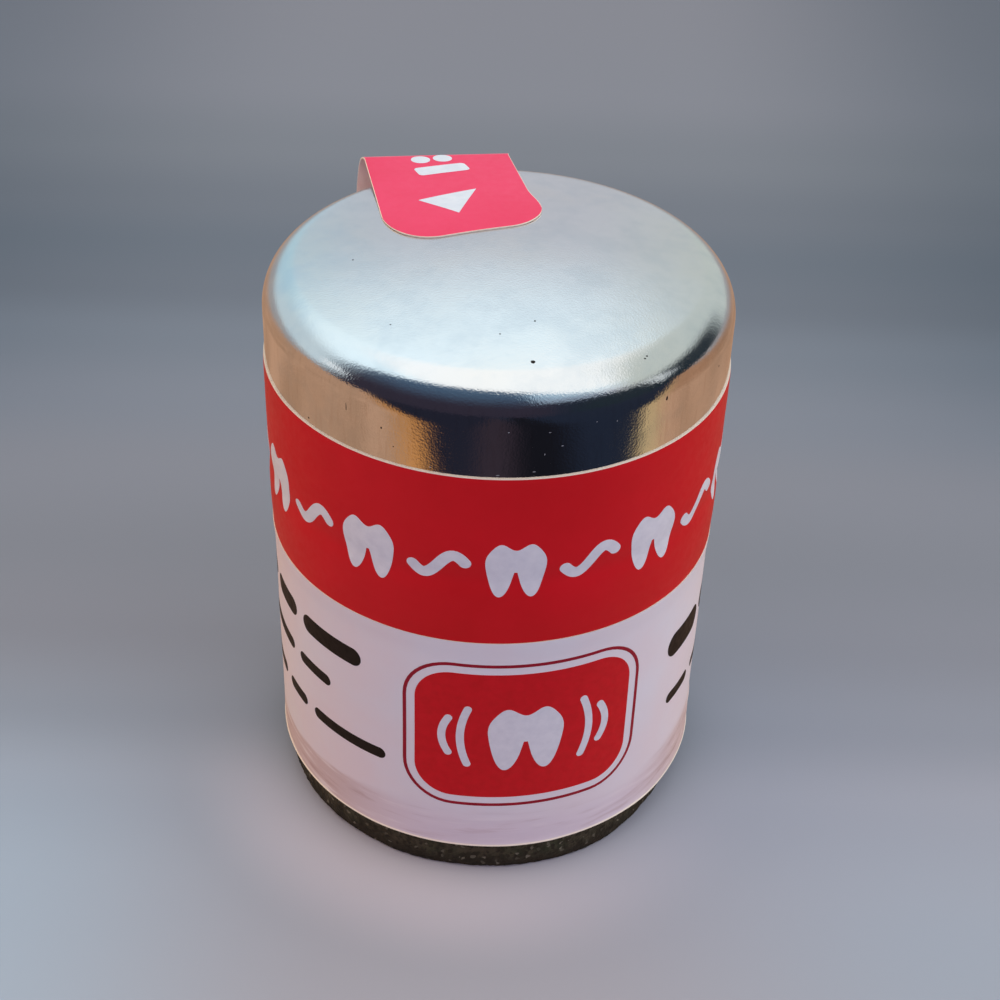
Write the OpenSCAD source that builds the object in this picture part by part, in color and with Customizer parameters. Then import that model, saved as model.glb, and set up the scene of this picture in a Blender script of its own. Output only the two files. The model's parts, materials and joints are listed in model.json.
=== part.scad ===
// Round dental floss dispenser: a labelled vial with a pull-off metal cap,
// a wound bobbin on a spindle inside, and a cutter under the cap.
// Millimetres, Z up. The origin is the centre of the flat underside, the
// front is -Y, and the label's tab stands at the back, a little to the left.

/* [Cap] */
// Outside diameter of the bare metal cap
cap_d = 28; // [26:0.5:34]
// Height of the cap from its rim to the top of its crown
cap_h = 15.9; // [15.2:0.1:20]
// Thickness of the drawn steel
cap_wall = 0.35; // [0.25:0.05:0.5]
// Radius of the round shoulder between the side and the crown
cap_shoulder_r = 2.5; // [1.5:0.1:3.5]
// Radius of the shallow dome that forms the crown
cap_crown_r = 70; // [55:1:120]
// Height of the hem that is curled inside the rim
hem_h = 1.2; // [0.9:0.1:2]
// Slit left open inside the curled hem
hem_slit = 0.1; // [0.06:0.01:0.16]
// Thickness of the disc that lines the crown
liner_t = 0.5; // [0.3:0.1:0.8]

/* [Vial] */
// Height of the ledge that the cap stops on
ledge_z = 22.1; // [19:0.1:28]
// Length of the neck above that ledge
neck_h = 8.3; // [7:0.1:9]
// Wall of the vial below the ledge
vial_wall = 1.4; // [1.2:0.1:1.6]
// How far the cap stands proud of the vial all round
cap_step = 0.2; // [0.1:0.05:0.5]

/* [Foot] */
// Height of the dark foot that shows below the label
foot_h = 2.4; // [1.6:0.1:3.4]
// How far the foot is drawn in from the vial
foot_inset = 0.2; // [0.1:0.05:0.5]
// Radius of the foot's lower edge
foot_edge_r = 0.4; // [0.2:0.1:1.2]
// How far the foot's plug reaches up into the vial
plug_depth = 2.3; // [1.8:0.1:3]
// Wall of the plug's ring
plug_wall = 1.2; // [0.8:0.1:1.6]
// Diameter of the boss that holds the spindle
boss_d = 9; // [8:0.5:11]
// Number of ribs between the boss and the ring
rib_count = 6; // [3:1:8]
// Thickness of a rib
rib_t = 0.8; // [0.6:0.1:1.2]

/* [Bobbin] */
// Diameter of the spindle that the bobbin turns on
spindle_d = 4.8; // [4:0.1:5.4]
// Outside diameter of the bobbin's core
core_d = 9; // [8:0.5:12]
// Thickness of each of the bobbin's flanges
flange_t = 0.8; // [0.5:0.1:1.2]
// How far the winding stays inside the flanges
winding_inset = 0.5; // [0.3:0.1:1.5]
// How much fuller the winding is at its middle
winding_crown = 0.25; // [0.1:0.05:0.4]

/* [Neck insert] */
// Thickness of the insert's top plate
insert_t = 0.8; // [0.6:0.1:1.2]
// How far the insert reaches down into the neck
insert_depth = 1.5; // [1.3:0.1:2.2]
// Wall of the insert's ring
insert_wall = 1; // [0.8:0.1:1.4]
// Radius of the notch that the insert is prised out by
notch_r = 1.8; // [1.2:0.1:2.4]
// Bore of the eyelet that the floss runs through
eyelet_bore = 1.4; // [1:0.1:2]
// Distance of the eyelet in front of the vial's centre
eyelet_front = 5.2; // [4.5:0.1:6.5]

/* [Cutter] */
// Width of the cutter's plate
cutter_w = 8.4; // [7.6:0.2:9.6]
// Length of the cutter's plate from front to back
cutter_l = 9.6; // [9:0.2:10.4]
// Distance from the insert's ring to the back of the cutter's plate
cutter_inset = 0.8; // [0.6:0.1:1.4]
// Thickness of the cutter's steel
cutter_t = 0.3; // [0.2:0.05:0.4]
// Width of the tongue that is lifted out of the plate
tongue_w = 3.6; // [3:0.1:4.4]
// Length of the tongue along its slope
tongue_l = 5; // [4.2:0.1:5.4]
// Angle at which the tongue is lifted
tongue_lift = 25; // [15:1:30]
// Depth of the notch in the tongue's tip
vee_depth = 1.6; // [1:0.1:2]
// Distance between the two rivets
rivet_pitch = 5.4; // [5:0.1:6]
// Diameter of a rivet's shank
rivet_d = 1.2; // [1:0.1:1.5]

/* [Label and tab] */
// Thickness of the label's paper
paper_t = 0.15; // [0.1:0.01:0.2]
// How far the label's band climbs the cap above its rim
band_rise = 9.2; // [5:0.1:10.5]
// How far the label's band hangs below the cap's rim
band_drop = 2.5; // [1.5:0.1:5]
// Width of the tab
tab_w = 9.8; // [7:0.1:11]
// Length of the tab from its crease to its front edge, seen from above
tab_l = 13; // [9:0.1:14]
// How much wider the tab is on each side where it leaves the band
tab_flare = 0.8; // [0:0.1:1.2]
// Radius of the tab's front corners
tab_corner_r = 2.8; // [1:0.1:3.6]
// How much further the left front corner reaches than the right one
tab_skew = 1; // [0:0.1:1.5]
// How far the crease stands out behind the cap
crease_out = 1.2; // [0.8:0.1:1.6]
// Height of the crease above the crown's curve, carried on past the shoulder
crease_lift = 0.45; // [0.3:0.05:0.6]
// Turn of the tab from straight behind towards the left, in degrees
tab_turn = 11; // [0:1:30]
// How far the tab's middle lies left of its own centre line
tab_aside = 1.6; // [0:0.1:2]

/* [Hidden] */
$fn = 96;

// Fits and clearances
hem_fit = 0.05;       // cap's hem on the neck, radial
rim_gap = 0.2;        // cap's rim above the ledge
glue = 0.02;          // label to what it is stuck on
press = 0.02;         // pieces pushed into or onto each other, radial
bearing_fit = 0.06;   // bobbin on its spindle, radial
bobbin_gap = 0.9;     // bobbin inside the vial, radial
thrust_gap = 0.1;     // bobbin above the spindle's collar
end_float = 0.6;      // bobbin below the neck insert
tear_gap = 0.1;       // between the label's two parts
skirt_gap = 0.02;     // band's skirt outside the body label, radial
tab_gap = 0.1;        // tab above the crown
crease_gap = 0.12;    // each side of the crease
over = 1;             // how far a cut runs past the solid

// Small details
tube_chamfer = 0.3;
neck_lead_in = 0.4;
label_foot_gap = 0.2;
bead_r = 0.3;
bead_out = 0.15;
bead_fit = 0.05;
insert_edge_r = 0.3;
rib_drop = 0.5;
tail_d = 3.4;
tail_l = 2.4;
collar_d = 7.4;
collar_t = 0.5;
spindle_short = 0.8;
spindle_chamfer = 0.5;
flange_edge_r = 0.2;
liner_edge = 0.3;
pad_h = 0.4;
pad_margin = 0.5;
pad_corner_r = 1;
plate_corner_r = 0.8;
window_gap = 0.35;
tongue_back = 3;
rivet_back = 1.5;
rivet_fit = 0.03;
rivet_head_d = 2.2;
rivet_head_h = 0.5;
rivet_tail_h = 0.4;
vee_w = 1.8;
eyelet_t = 0.3;
eyelet_flange = 0.9;
eyelet_boss_wall = 0.9;
eyelet_boss_rise = 0.3;
eyelet_lip = 0.4;
taper_h = 0.9;

// Radii
cap_r = cap_d / 2;
hem_r = cap_r - 2 * cap_wall - hem_slit;
neck_r = hem_r - hem_fit;
vial_r = cap_r - cap_step;
bore_r = vial_r - vial_wall;
foot_r = vial_r - foot_inset;
spindle_r = spindle_d / 2;
core_r = core_d / 2;
bobbin_r = bore_r - bobbin_gap;
winding_r = bobbin_r - winding_inset;
label_r = vial_r + glue;
band_r = cap_r + glue;
skirt_r = label_r + paper_t + skirt_gap;
insert_r = bore_r - press;
insert_ring_r = insert_r - insert_wall;
eyelet_r = eyelet_bore / 2;
eyelet_hole_r = eyelet_r + eyelet_t + press;
eyelet_boss_r = eyelet_hole_r + eyelet_boss_wall;

// Places along Y on the neck insert
cutter_back = insert_ring_r - cutter_inset;
cutter_front = cutter_back - cutter_l;
rivet_y = cutter_back - rivet_back;

// Heights
rim_z = ledge_z + rim_gap;
top_z = rim_z + cap_h;
neck_z = ledge_z + neck_h;
insert_z = neck_z + insert_t;
insert_low_z = neck_z - insert_depth;
boss_z = foot_h + plug_depth;
collar_z = boss_z + collar_t;
bobbin_z = collar_z + thrust_gap;
bobbin_top_z = insert_low_z - end_float;
pad_z = insert_z + pad_h;
plate_z = pad_z + cutter_t;
band_low_z = rim_z - band_drop;
band_top_z = rim_z + band_rise;
label_low_z = foot_h + label_foot_gap;
label_top_z = band_low_z - tear_gap;
plug_bead_z = foot_h + plug_depth / 2;
insert_bead_z = neck_z - insert_depth / 2;

// Crown and shoulder: the two arcs of the cap's outline meet in a tangent
crown_z = top_z - cap_crown_r;
shoulder_x = cap_r - cap_shoulder_r;
shoulder_z = crown_z + sqrt(pow(cap_crown_r - cap_shoulder_r, 2) - pow(shoulder_x, 2));
meet_angle = atan2(shoulder_z - crown_z, shoulder_x);

// Tab: its crease, its front and where it comes to lie on the crown
crease_r = cap_r + crease_out;
crease_z = crown_z + sqrt(pow(cap_crown_r, 2) - pow(crease_r, 2)) + crease_lift;
tab_front = crease_r - tab_l;
lie_r = cap_crown_r + tab_gap;
crease_far = norm([crease_r, crease_z - crown_z]);
lie_angle = atan2(crease_z - crown_z, crease_r) + acos(lie_r / crease_far);
front_angle = acos((tab_front - tab_skew) / lie_r);

// Numbers of steps on curves
arc_steps = 14;
crown_steps = 10;
bend_steps = 8;
riser_rows = 8;
riser_columns = 10;

// Colours
metal = [0.77, 0.79, 0.81];
red_paper = [0.74, 0.08, 0.12];
white_paper = [0.93, 0.90, 0.93];
white_plastic = [0.94, 0.94, 0.92];
dark_grain = [0.17, 0.17, 0.13];
board = [0.80, 0.74, 0.62];
floss_white = [0.97, 0.96, 0.92];

// Points of an arc round a centre, from one angle to another
function arc(centre, r, from, to, steps = arc_steps) = [
    for (i = [0 : steps])
        let (a = from + (to - from) * i / steps)
        centre + r * [cos(a), sin(a)]
];

// Outline of the cap's top, set in by a thickness, from the side to the axis
function cap_top(inset) = concat(
    arc([shoulder_x, shoulder_z], cap_shoulder_r - inset, 0, meet_angle),
    arc([0, crown_z], cap_crown_r - inset, meet_angle, 90, crown_steps)
);

function reversed(points) = [
    for (i = [len(points) - 1 : -1 : 0])
        points[i]
];

module ring(outer_r, inner_r, low, high) {
    rotate_extrude()
        translate([inner_r, low])
            square([outer_r - inner_r, high - low]);
}

// Round bead of a snap fit, standing proud of a wall of radius wall_r
module bead(wall_r, z, clearance = 0) {
    rotate_extrude()
        translate([wall_r + bead_out - bead_r, z])
            circle(bead_r + clearance, $fn = 24);
}

// Rectangle with round corners, centred across and starting at y = 0
module plate_outline(w, l, corner_r) {
    polygon(concat(
        arc([w / 2 - corner_r, corner_r], corner_r, -90, 0, bend_steps),
        arc([w / 2 - corner_r, l - corner_r], corner_r, 0, 90, bend_steps),
        arc([corner_r - w / 2, l - corner_r], corner_r, 90, 180, bend_steps),
        arc([corner_r - w / 2, corner_r], corner_r, 180, 270, bend_steps)
    ));
}

// The vial: a tube with a thinner neck, open at both ends
module vial_tube() {
    color(white_plastic)
        difference() {
            rotate_extrude()
                polygon([
                    [bore_r, foot_h],
                    [vial_r, foot_h],
                    [vial_r, ledge_z - tube_chamfer],
                    [vial_r - tube_chamfer, ledge_z],
                    [neck_r, ledge_z],
                    [neck_r, neck_z - neck_lead_in],
                    [neck_r - neck_lead_in, neck_z],
                    [bore_r, neck_z]
                ]);
            bead(bore_r, plug_bead_z, bead_fit);
            bead(bore_r, insert_bead_z, bead_fit);
        }
}

// The dark foot: a plug that closes the tube and holds the spindle
module base_plug() {
    ring_r = bore_r - press;
    color(dark_grain)
        difference() {
            union() {
                rotate_extrude()
                    polygon(concat(
                        [[0, 0]],
                        arc([foot_r - foot_edge_r, foot_edge_r], foot_edge_r, -90, 0, bend_steps),
                        [[foot_r, foot_h], [0, foot_h]]
                    ));
                ring(ring_r, ring_r - plug_wall, foot_h, boss_z);
                bead(ring_r, plug_bead_z);
                cylinder(r = boss_d / 2, h = boss_z);
                for (i = [0 : rib_count - 1])
                    rotate(i * 360 / rib_count)
                        translate([0, -rib_t / 2, 0])
                            cube([ring_r - plug_wall / 2, rib_t, boss_z - rib_drop]);
            }
            translate([0, 0, boss_z - tail_l - press])
                cylinder(r = tail_d / 2 + press, h = tail_l + over);
        }
}

// The spindle, with a tail in the plug's boss and a collar on it
module spindle() {
    color(white_plastic)
        rotate_extrude()
            polygon([
                [0, boss_z - tail_l],
                [tail_d / 2, boss_z - tail_l],
                [tail_d / 2, boss_z],
                [collar_d / 2, boss_z],
                [collar_d / 2, collar_z],
                [spindle_r, collar_z],
                [spindle_r, bobbin_top_z - spindle_short - spindle_chamfer],
                [spindle_r - spindle_chamfer, bobbin_top_z - spindle_short],
                [0, bobbin_top_z - spindle_short]
            ]);
}

// The white part of the label, round the vial below the tear line
module body_label() {
    color(white_paper)
        ring(label_r + paper_t, label_r, label_low_z, label_top_z);
}

// The plug in the neck: it guides the floss and carries the cutter
module neck_insert() {
    flange_r = neck_r - insert_edge_r / 2;
    color(white_plastic)
        difference() {
            union() {
                rotate_extrude()
                    polygon(concat(
                        [[0, neck_z], [flange_r, neck_z]],
                        arc([flange_r - insert_edge_r, insert_z - insert_edge_r],
                            insert_edge_r, 0, 90, bend_steps),
                        [[0, insert_z]]
                    ));
                ring(insert_r, insert_ring_r, insert_low_z, neck_z);
                bead(insert_r, insert_bead_z);
                translate([0, cutter_front - pad_margin, neck_z])
                    linear_extrude(pad_z - neck_z)
                        plate_outline(
                            cutter_w + 2 * pad_margin,
                            cutter_l + 2 * pad_margin,
                            pad_corner_r
                        );
                translate([0, -eyelet_front, insert_low_z])
                    cylinder(r = eyelet_boss_r, h = insert_z + eyelet_boss_rise - insert_low_z);
            }
            translate([0, -eyelet_front, insert_low_z - over])
                cylinder(r = eyelet_hole_r, h = insert_t + insert_depth + eyelet_boss_rise + 2 * over);
            for (side = [-1, 1])
                translate([side * rivet_pitch / 2, rivet_y, insert_low_z])
                    cylinder(r = rivet_d / 2 + rivet_fit, h = pad_z - insert_low_z + over, $fn = 32);
            translate([0, -neck_r, neck_z - over])
                cylinder(r = notch_r, h = insert_t + 2 * over);
        }
}

// The metal eyelet, flanged above and rolled out below
module floss_eyelet() {
    low = insert_low_z - eyelet_t;
    high = insert_z + eyelet_boss_rise;
    out = eyelet_r + eyelet_t;
    color(metal)
        translate([0, -eyelet_front, 0])
            rotate_extrude()
                polygon(concat(
                    [[eyelet_r, low], [out + eyelet_lip, low], [out + eyelet_lip, insert_low_z]],
                    [[out, insert_low_z], [out, high], [out + eyelet_flange, high]],
                    arc([out + eyelet_flange - eyelet_t, high], eyelet_t, 0, 90, bend_steps),
                    arc([eyelet_r + eyelet_t, high], eyelet_t, 90, 180, bend_steps)
                ));
}

// The cutter: a stamped plate with a notched tongue lifted out of it
module cutter_plate() {
    root_y = cutter_l - tongue_back;
    color(metal)
        translate([0, cutter_front, pad_z]) {
            difference() {
                linear_extrude(cutter_t)
                    plate_outline(cutter_w, cutter_l, plate_corner_r);
                translate([0, root_y - tongue_l - window_gap, -over])
                    linear_extrude(cutter_t + 2 * over)
                        plate_outline(
                            tongue_w + 2 * window_gap,
                            tongue_l + window_gap,
                            window_gap
                        );
                for (side = [-1, 1])
                    translate([side * rivet_pitch / 2, cutter_l - rivet_back, -over])
                        cylinder(r = rivet_d / 2 + rivet_fit, h = cutter_t + 2 * over, $fn = 32);
            }
            intersection() {
                rotate([90, 0, 90])
                    linear_extrude(tongue_w, center = true)
                        tongue_profile(root_y);
                tongue_outline(root_y);
            }
        }
}

// Side view of the tongue: flat at its root, a bend, then a straight slope
module tongue_profile(root_y) {
    bend_r = cutter_t * 2;
    slope = [-cos(tongue_lift), sin(tongue_lift)];
    inner = arc([root_y, bend_r + cutter_t], bend_r, 270, 270 - tongue_lift, bend_steps);
    outer = arc([root_y, bend_r + cutter_t], bend_r + cutter_t, 270 - tongue_lift, 270, bend_steps);
    polygon(concat(
        [[root_y + cutter_t, 0], [root_y + cutter_t, cutter_t]],
        inner,
        [inner[bend_steps] + tongue_l * slope, outer[0] + tongue_l * slope],
        outer
    ));
}

// Plan of the tongue: straight sides and a notch between two points
module tongue_outline(root_y) {
    tip_y = root_y - tongue_l * cos(tongue_lift);
    translate([0, 0, -over])
        linear_extrude(tongue_l + 2 * over)
            polygon([
                [tongue_w / 2, root_y + over],
                [tongue_w / 2, tip_y + vee_depth / 2],
                [vee_w / 2, tip_y],
                [0, tip_y + vee_depth],
                [-vee_w / 2, tip_y],
                [-tongue_w / 2, tip_y + vee_depth / 2],
                [-tongue_w / 2, root_y + over]
            ]);
}

// Two rivets through the cutter, the pad and the insert's plate
module cutter_rivets() {
    head_r = rivet_head_d / 2;
    dome_r = (head_r * head_r + rivet_head_h * rivet_head_h) / (2 * rivet_head_h);
    dome_angle = asin((dome_r - rivet_head_h) / dome_r);
    tail_z = neck_z - rivet_tail_h;
    color(metal)
        for (side = [-1, 1])
            translate([side * rivet_pitch / 2, rivet_y, 0])
                rotate_extrude($fn = 32)
                    polygon(concat(
                        [[0, tail_z], [head_r, tail_z], [head_r, neck_z], [rivet_d / 2, neck_z]],
                        [[rivet_d / 2, plate_z]],
                        arc([0, plate_z + rivet_head_h - dome_r], dome_r, dome_angle, 90, bend_steps)
                    ));
}

module bobbin_core() {
    color(board)
        ring(core_r, spindle_r + bearing_fit, bobbin_z, bobbin_top_z);
}

// One flange of the bobbin, pushed onto the end of its core
module bobbin_flange(z) {
    color(board)
        rotate_extrude()
            polygon(concat(
                [[core_r + press, z]],
                arc([bobbin_r - flange_edge_r, z + flange_edge_r], flange_edge_r, -90, 0, bend_steps),
                arc([bobbin_r - flange_edge_r, z + flange_t - flange_edge_r],
                    flange_edge_r, 0, 90, bend_steps),
                [[core_r + press, z + flange_t]]
            ));
}

module bobbin_lower_flange() {
    bobbin_flange(bobbin_z);
}

module bobbin_upper_flange() {
    bobbin_flange(bobbin_top_z - flange_t);
}

// The wound floss, a little fuller at its middle than at its ends
module floss_winding() {
    low = bobbin_z + flange_t;
    high = bobbin_top_z - flange_t;
    half = (high - low) / 2;
    belly_r = (half * half + winding_crown * winding_crown) / (2 * winding_crown);
    belly_angle = asin(half / belly_r);
    color(floss_white)
        rotate_extrude()
            polygon(concat(
                [[core_r + press, high], [core_r + press, low]],
                arc([winding_r - belly_r, (low + high) / 2], belly_r, -belly_angle, belly_angle)
            ));
}

// The drawn metal cap: domed crown, round shoulder and a rim curled inside
module cap_shell() {
    curl_x = cap_r - cap_wall - hem_slit / 2;
    curl_z = rim_z + cap_wall + hem_slit / 2;
    color(metal)
        rotate_extrude()
            polygon(concat(
                [[hem_r, rim_z + hem_h]],
                arc([curl_x, curl_z], cap_wall + hem_slit / 2, 180, 360, bend_steps),
                cap_top(0),
                reversed(cap_top(cap_wall)),
                arc([curl_x, curl_z], hem_slit / 2, 360, 180, bend_steps),
                [[hem_r + cap_wall, rim_z + hem_h]]
            ));
}

// The disc that lines the crown, bent to it
module cap_liner() {
    upper_r = cap_crown_r - cap_wall - glue;
    edge_angle = acos((shoulder_x - liner_edge) / upper_r);
    color(board)
        rotate_extrude()
            polygon(concat(
                arc([0, crown_z], upper_r - liner_t, 90, edge_angle, crown_steps),
                arc([0, crown_z], upper_r, edge_angle, 90, crown_steps)
            ));
}

// The red part of the label: stuck to the cap, it narrows below the rim and
// ends at the tear line as a short skirt round the vial
module band_label() {
    color(red_paper)
        rotate_extrude()
            polygon([
                [skirt_r, band_low_z],
                [skirt_r + paper_t, band_low_z],
                [skirt_r + paper_t, rim_z - taper_h],
                [band_r + paper_t, rim_z],
                [band_r + paper_t, band_top_z],
                [band_r, band_top_z],
                [band_r, rim_z],
                [skirt_r, rim_z - taper_h]
            ]);
}

// Places its children in the tab's frame: x across it, y out from the cap
module at_tab() {
    rotate(tab_turn)
        translate([-tab_aside, 0, 0])
            children();
}

// How far out the riser lies at a height share from 0 to 1 and a place across:
// round like the band at its foot, straight at the crease
function riser_out(share, across) =
    let (
        round_y = sqrt(pow(band_r, 2) - pow(across - tab_aside, 2)),
        straight = 1 - pow(1 - share, 2)
    )
    round_y + (crease_r - paper_t / 2 - round_y) * straight;

// The label's tongue, from the band's top edge up to the crease
module tab_riser() {
    foot_z = band_top_z;
    head_z = crease_z - crease_gap;
    points = [
        for (layer = [0, 1])
            for (row = [0 : riser_rows])
                for (column = [0 : riser_columns])
                    let (
                        share = row / riser_rows,
                        width = tab_w + 2 * tab_flare * (1 - share),
                        across = width * (column / riser_columns - 1 / 2)
                    )
                    [
                        across,
                        riser_out(share, across) + layer * paper_t,
                        foot_z + (head_z - foot_z) * share
                    ]
    ];
    wide = riser_columns + 1;
    deep = wide * (riser_rows + 1);
    inner_faces = [
        for (row = [0 : riser_rows - 1])
            for (column = [0 : riser_columns - 1])
                let (p = row * wide + column)
                [p, p + 1, p + wide + 1, p + wide]
    ];
    outer_faces = [
        for (face = inner_faces)
            [face[3] + deep, face[2] + deep, face[1] + deep, face[0] + deep]
    ];
    low_faces = [
        for (column = [0 : riser_columns - 1])
            [column + 1, column, column + deep, column + 1 + deep]
    ];
    high_faces = [
        for (column = [0 : riser_columns - 1])
            let (p = riser_rows * wide + column)
            [p, p + 1, p + 1 + deep, p + deep]
    ];
    left_faces = [
        for (row = [0 : riser_rows - 1])
            let (p = row * wide)
            [p, p + wide, p + wide + deep, p + deep]
    ];
    right_faces = [
        for (row = [0 : riser_rows - 1])
            let (p = row * wide + riser_columns)
            [p + wide, p, p + deep, p + wide + deep]
    ];
    color(red_paper)
        at_tab()
            polyhedron(
                points,
                concat(inner_faces, outer_faces, low_faces, high_faces, left_faces, right_faces)
            );
}

// Side view of the tab: straight from the crease to where it meets the crown,
// then lying along the crown
module tab_profile() {
    outward = [sin(lie_angle), -cos(lie_angle)];
    upward = [cos(lie_angle), sin(lie_angle)];
    hinge_end = [crease_r, crease_z] - crease_gap * outward;
    polygon(concat(
        [hinge_end],
        arc([0, crown_z], lie_r, lie_angle, front_angle, bend_steps),
        arc([0, crown_z], lie_r + paper_t, front_angle, lie_angle, bend_steps),
        [hinge_end + paper_t * upward]
    ));
}

// Plan of the tab, with round front corners on its slanted front edge
module tab_outline() {
    slant = atan2(tab_skew, tab_w);
    left_y = tab_front - tab_skew / 2 + tab_corner_r * (1 + sin(slant)) / cos(slant);
    right_y = tab_front + tab_skew / 2 + tab_corner_r * (1 - sin(slant)) / cos(slant);
    side_x = tab_w / 2 - tab_corner_r;
    polygon(concat(
        arc([-side_x, left_y], tab_corner_r, 180, 270 + slant, bend_steps),
        arc([side_x, right_y], tab_corner_r, 270 + slant, 360, bend_steps),
        [[tab_w / 2, crease_r + over], [-tab_w / 2, crease_r + over]]
    ));
}

// The tab, folded forward from the crease onto the crown
module pull_tab() {
    color(red_paper)
        at_tab()
            intersection() {
                rotate([90, 0, 90])
                    linear_extrude(tab_w, center = true)
                        tab_profile();
                translate([0, 0, crease_z - over])
                    linear_extrude(top_z - crease_z + 2 * over)
                        tab_outline();
            }
}

vial_tube();
base_plug();
spindle();
body_label();
neck_insert();
floss_eyelet();
cutter_plate();
cutter_rivets();
bobbin_core();
bobbin_lower_flange();
bobbin_upper_flange();
floss_winding();
cap_shell();
cap_liner();
band_label();
tab_riser();
pull_tab();
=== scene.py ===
import json
from math import atan2, cos, degrees, pi, radians, sin, sqrt

import bpy
import numpy as np
from mathutils import Matrix, Vector


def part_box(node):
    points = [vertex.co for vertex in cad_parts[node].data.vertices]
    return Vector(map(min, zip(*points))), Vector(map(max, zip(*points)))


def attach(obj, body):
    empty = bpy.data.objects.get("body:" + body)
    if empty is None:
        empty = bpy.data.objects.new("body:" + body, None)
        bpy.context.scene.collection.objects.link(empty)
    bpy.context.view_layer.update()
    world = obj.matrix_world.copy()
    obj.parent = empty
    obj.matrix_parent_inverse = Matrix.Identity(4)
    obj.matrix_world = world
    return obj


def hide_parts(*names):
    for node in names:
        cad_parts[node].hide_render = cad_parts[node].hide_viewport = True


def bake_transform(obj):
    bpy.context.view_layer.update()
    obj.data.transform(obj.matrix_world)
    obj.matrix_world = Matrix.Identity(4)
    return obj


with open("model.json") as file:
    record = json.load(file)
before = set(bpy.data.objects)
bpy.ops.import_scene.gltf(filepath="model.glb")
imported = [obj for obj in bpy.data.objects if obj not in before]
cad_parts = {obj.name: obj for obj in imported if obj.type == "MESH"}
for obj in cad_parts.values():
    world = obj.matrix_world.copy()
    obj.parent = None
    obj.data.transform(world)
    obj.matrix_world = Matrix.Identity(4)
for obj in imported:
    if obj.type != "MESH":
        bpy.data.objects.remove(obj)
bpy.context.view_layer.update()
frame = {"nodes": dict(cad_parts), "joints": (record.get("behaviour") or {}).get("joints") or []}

mm = 0.001
print("frame loaded:", len(frame["nodes"]), "nodes")


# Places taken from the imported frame
def nodeSpan(node):
    low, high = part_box(node)
    return {"low": low.z, "high": high.z, "r": max(high.x, high.y, -low.x, -low.y)}


capSpan, bandSpan, labelSpan, plugSpan, vialSpan, windingSpan, coreSpan = (nodeSpan(node) for node in (
    "cap_shell", "band_label", "body_label", "base_plug", "vial_tube", "floss_winding", "bobbin_core"))
foldJoint = next(joint for joint in frame["joints"] if joint["name"] == "tab_fold")
creaseMiddle = Vector(foldJoint["pos_m"])
creaseAxis = Vector(foldJoint["axis"]).normalized()


# Arrays and meshes
def ease(x, start, end):
    # 0 before start, 1 after end, and a smooth S between them
    t = np.clip((x - start) / (end - start), 0, 1)
    return t * t * (3 - 2 * t)


def roughField(u, v, cells, seed):
    # smooth random heights from 0 to 1 on a lattice of cells that repeats along u
    lattice = np.random.default_rng(seed).random((cells[1] + 2, cells[0]))
    x, y = u * cells[0], np.clip(v, 0, 1) * cells[1]
    column, row = np.floor(x).astype(int), np.floor(y).astype(int)
    fx, fy = ease(x - column, 0, 1), ease(y - row, 0, 1)
    left, right = column % cells[0], (column + 1) % cells[0]
    lower = lattice[row, left] * (1 - fx) + lattice[row, right] * fx
    upper = lattice[row + 1, left] * (1 - fx) + lattice[row + 1, right] * fx
    return lower * (1 - fy) + upper * fy


def gridQuads(rows, columns, wrap=False):
    # faces between neighbouring rows and columns of a grid of points
    grid = np.arange(rows * columns).reshape(rows, columns)
    if wrap:
        grid = np.concatenate([grid, grid[:, :1]], 1)
    return np.stack([grid[:-1, :-1], grid[:-1, 1:], grid[1:, 1:], grid[1:, :-1]], -1).reshape(-1, 4)


def signedVolume(points, faceSets):
    # sum of the tetrahedra from the first point to every triangle of a fan over each face
    total = 0.0
    for faces in faceSets:
        for k in range(1, faces.shape[1] - 1):
            a, b, c = (points[faces[:, i]] - points[0] for i in (0, k, k + 1))
            total += np.einsum("ij,ij->i", a, np.cross(b, c)).sum()
    return total


def placed(name, data):
    # a new object at the origin of the scene
    item = bpy.data.objects.new(name, data)
    bpy.context.scene.collection.objects.link(item)
    return item


def newPiece(name, points, faceSets, materials, faceMaterials=None, sharp=None):
    # one mesh from points and arrays of faces, turned so that its faces point outwards; materials are keys of
    # finishes, and edges past sharp degrees are shaded sharp
    points = np.asarray(points, float).reshape(-1, 3)
    way = -1 if signedVolume(points, faceSets) < 0 else 1
    mesh = bpy.data.meshes.new(name)
    faces = [face for faces in faceSets for face in faces[:, ::way].tolist()]
    mesh.from_pydata(points.tolist(), [], faces, shade_flat=False)
    for material in materials:
        mesh.materials.append(finishes[material])
    if faceMaterials is not None:
        mesh.polygons.foreach_set("material_index", np.concatenate(faceMaterials).astype(np.int32))
    mesh.validate()
    if sharp:
        mesh.set_sharp_from_angle(angle=radians(sharp))
    return placed(name, mesh)


def paint(piece, attribute, values):
    # a number at every point of a piece, for its material to read
    layer = piece.data.attributes.new(attribute, "FLOAT", "POINT")
    layer.data.foreach_set("value", np.asarray(values, np.float32).ravel())


def thinSheet(front, back, wrap=False):
    # closed solid between two grids of the same shape; returns points, faces and which side each face is on
    rows, columns = front.shape[:2]
    count = rows * columns
    points = np.concatenate([front.reshape(-1, 3), back.reshape(-1, 3)])
    face, grid = gridQuads(rows, columns, wrap), np.arange(count).reshape(rows, columns)
    if wrap:
        runs = [(np.append(run, run[0]), turn) for run, turn in ((grid[0], 1), (grid[-1], -1))]
    else:
        runs = [(grid[0], 1), (grid[-1], -1), (grid[:, 0], -1), (grid[:, -1], 1)]
    edges = np.concatenate([np.stack([run[1:], run[:-1], run[:-1] + count, run[1:] + count], -1)[:, ::turn]
                            for run, turn in runs])
    sides = [np.zeros(len(face), int), np.full(len(face), 2), np.ones(len(edges), int)]
    return points, [face, face[:, ::-1] + count, edges], sides


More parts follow.
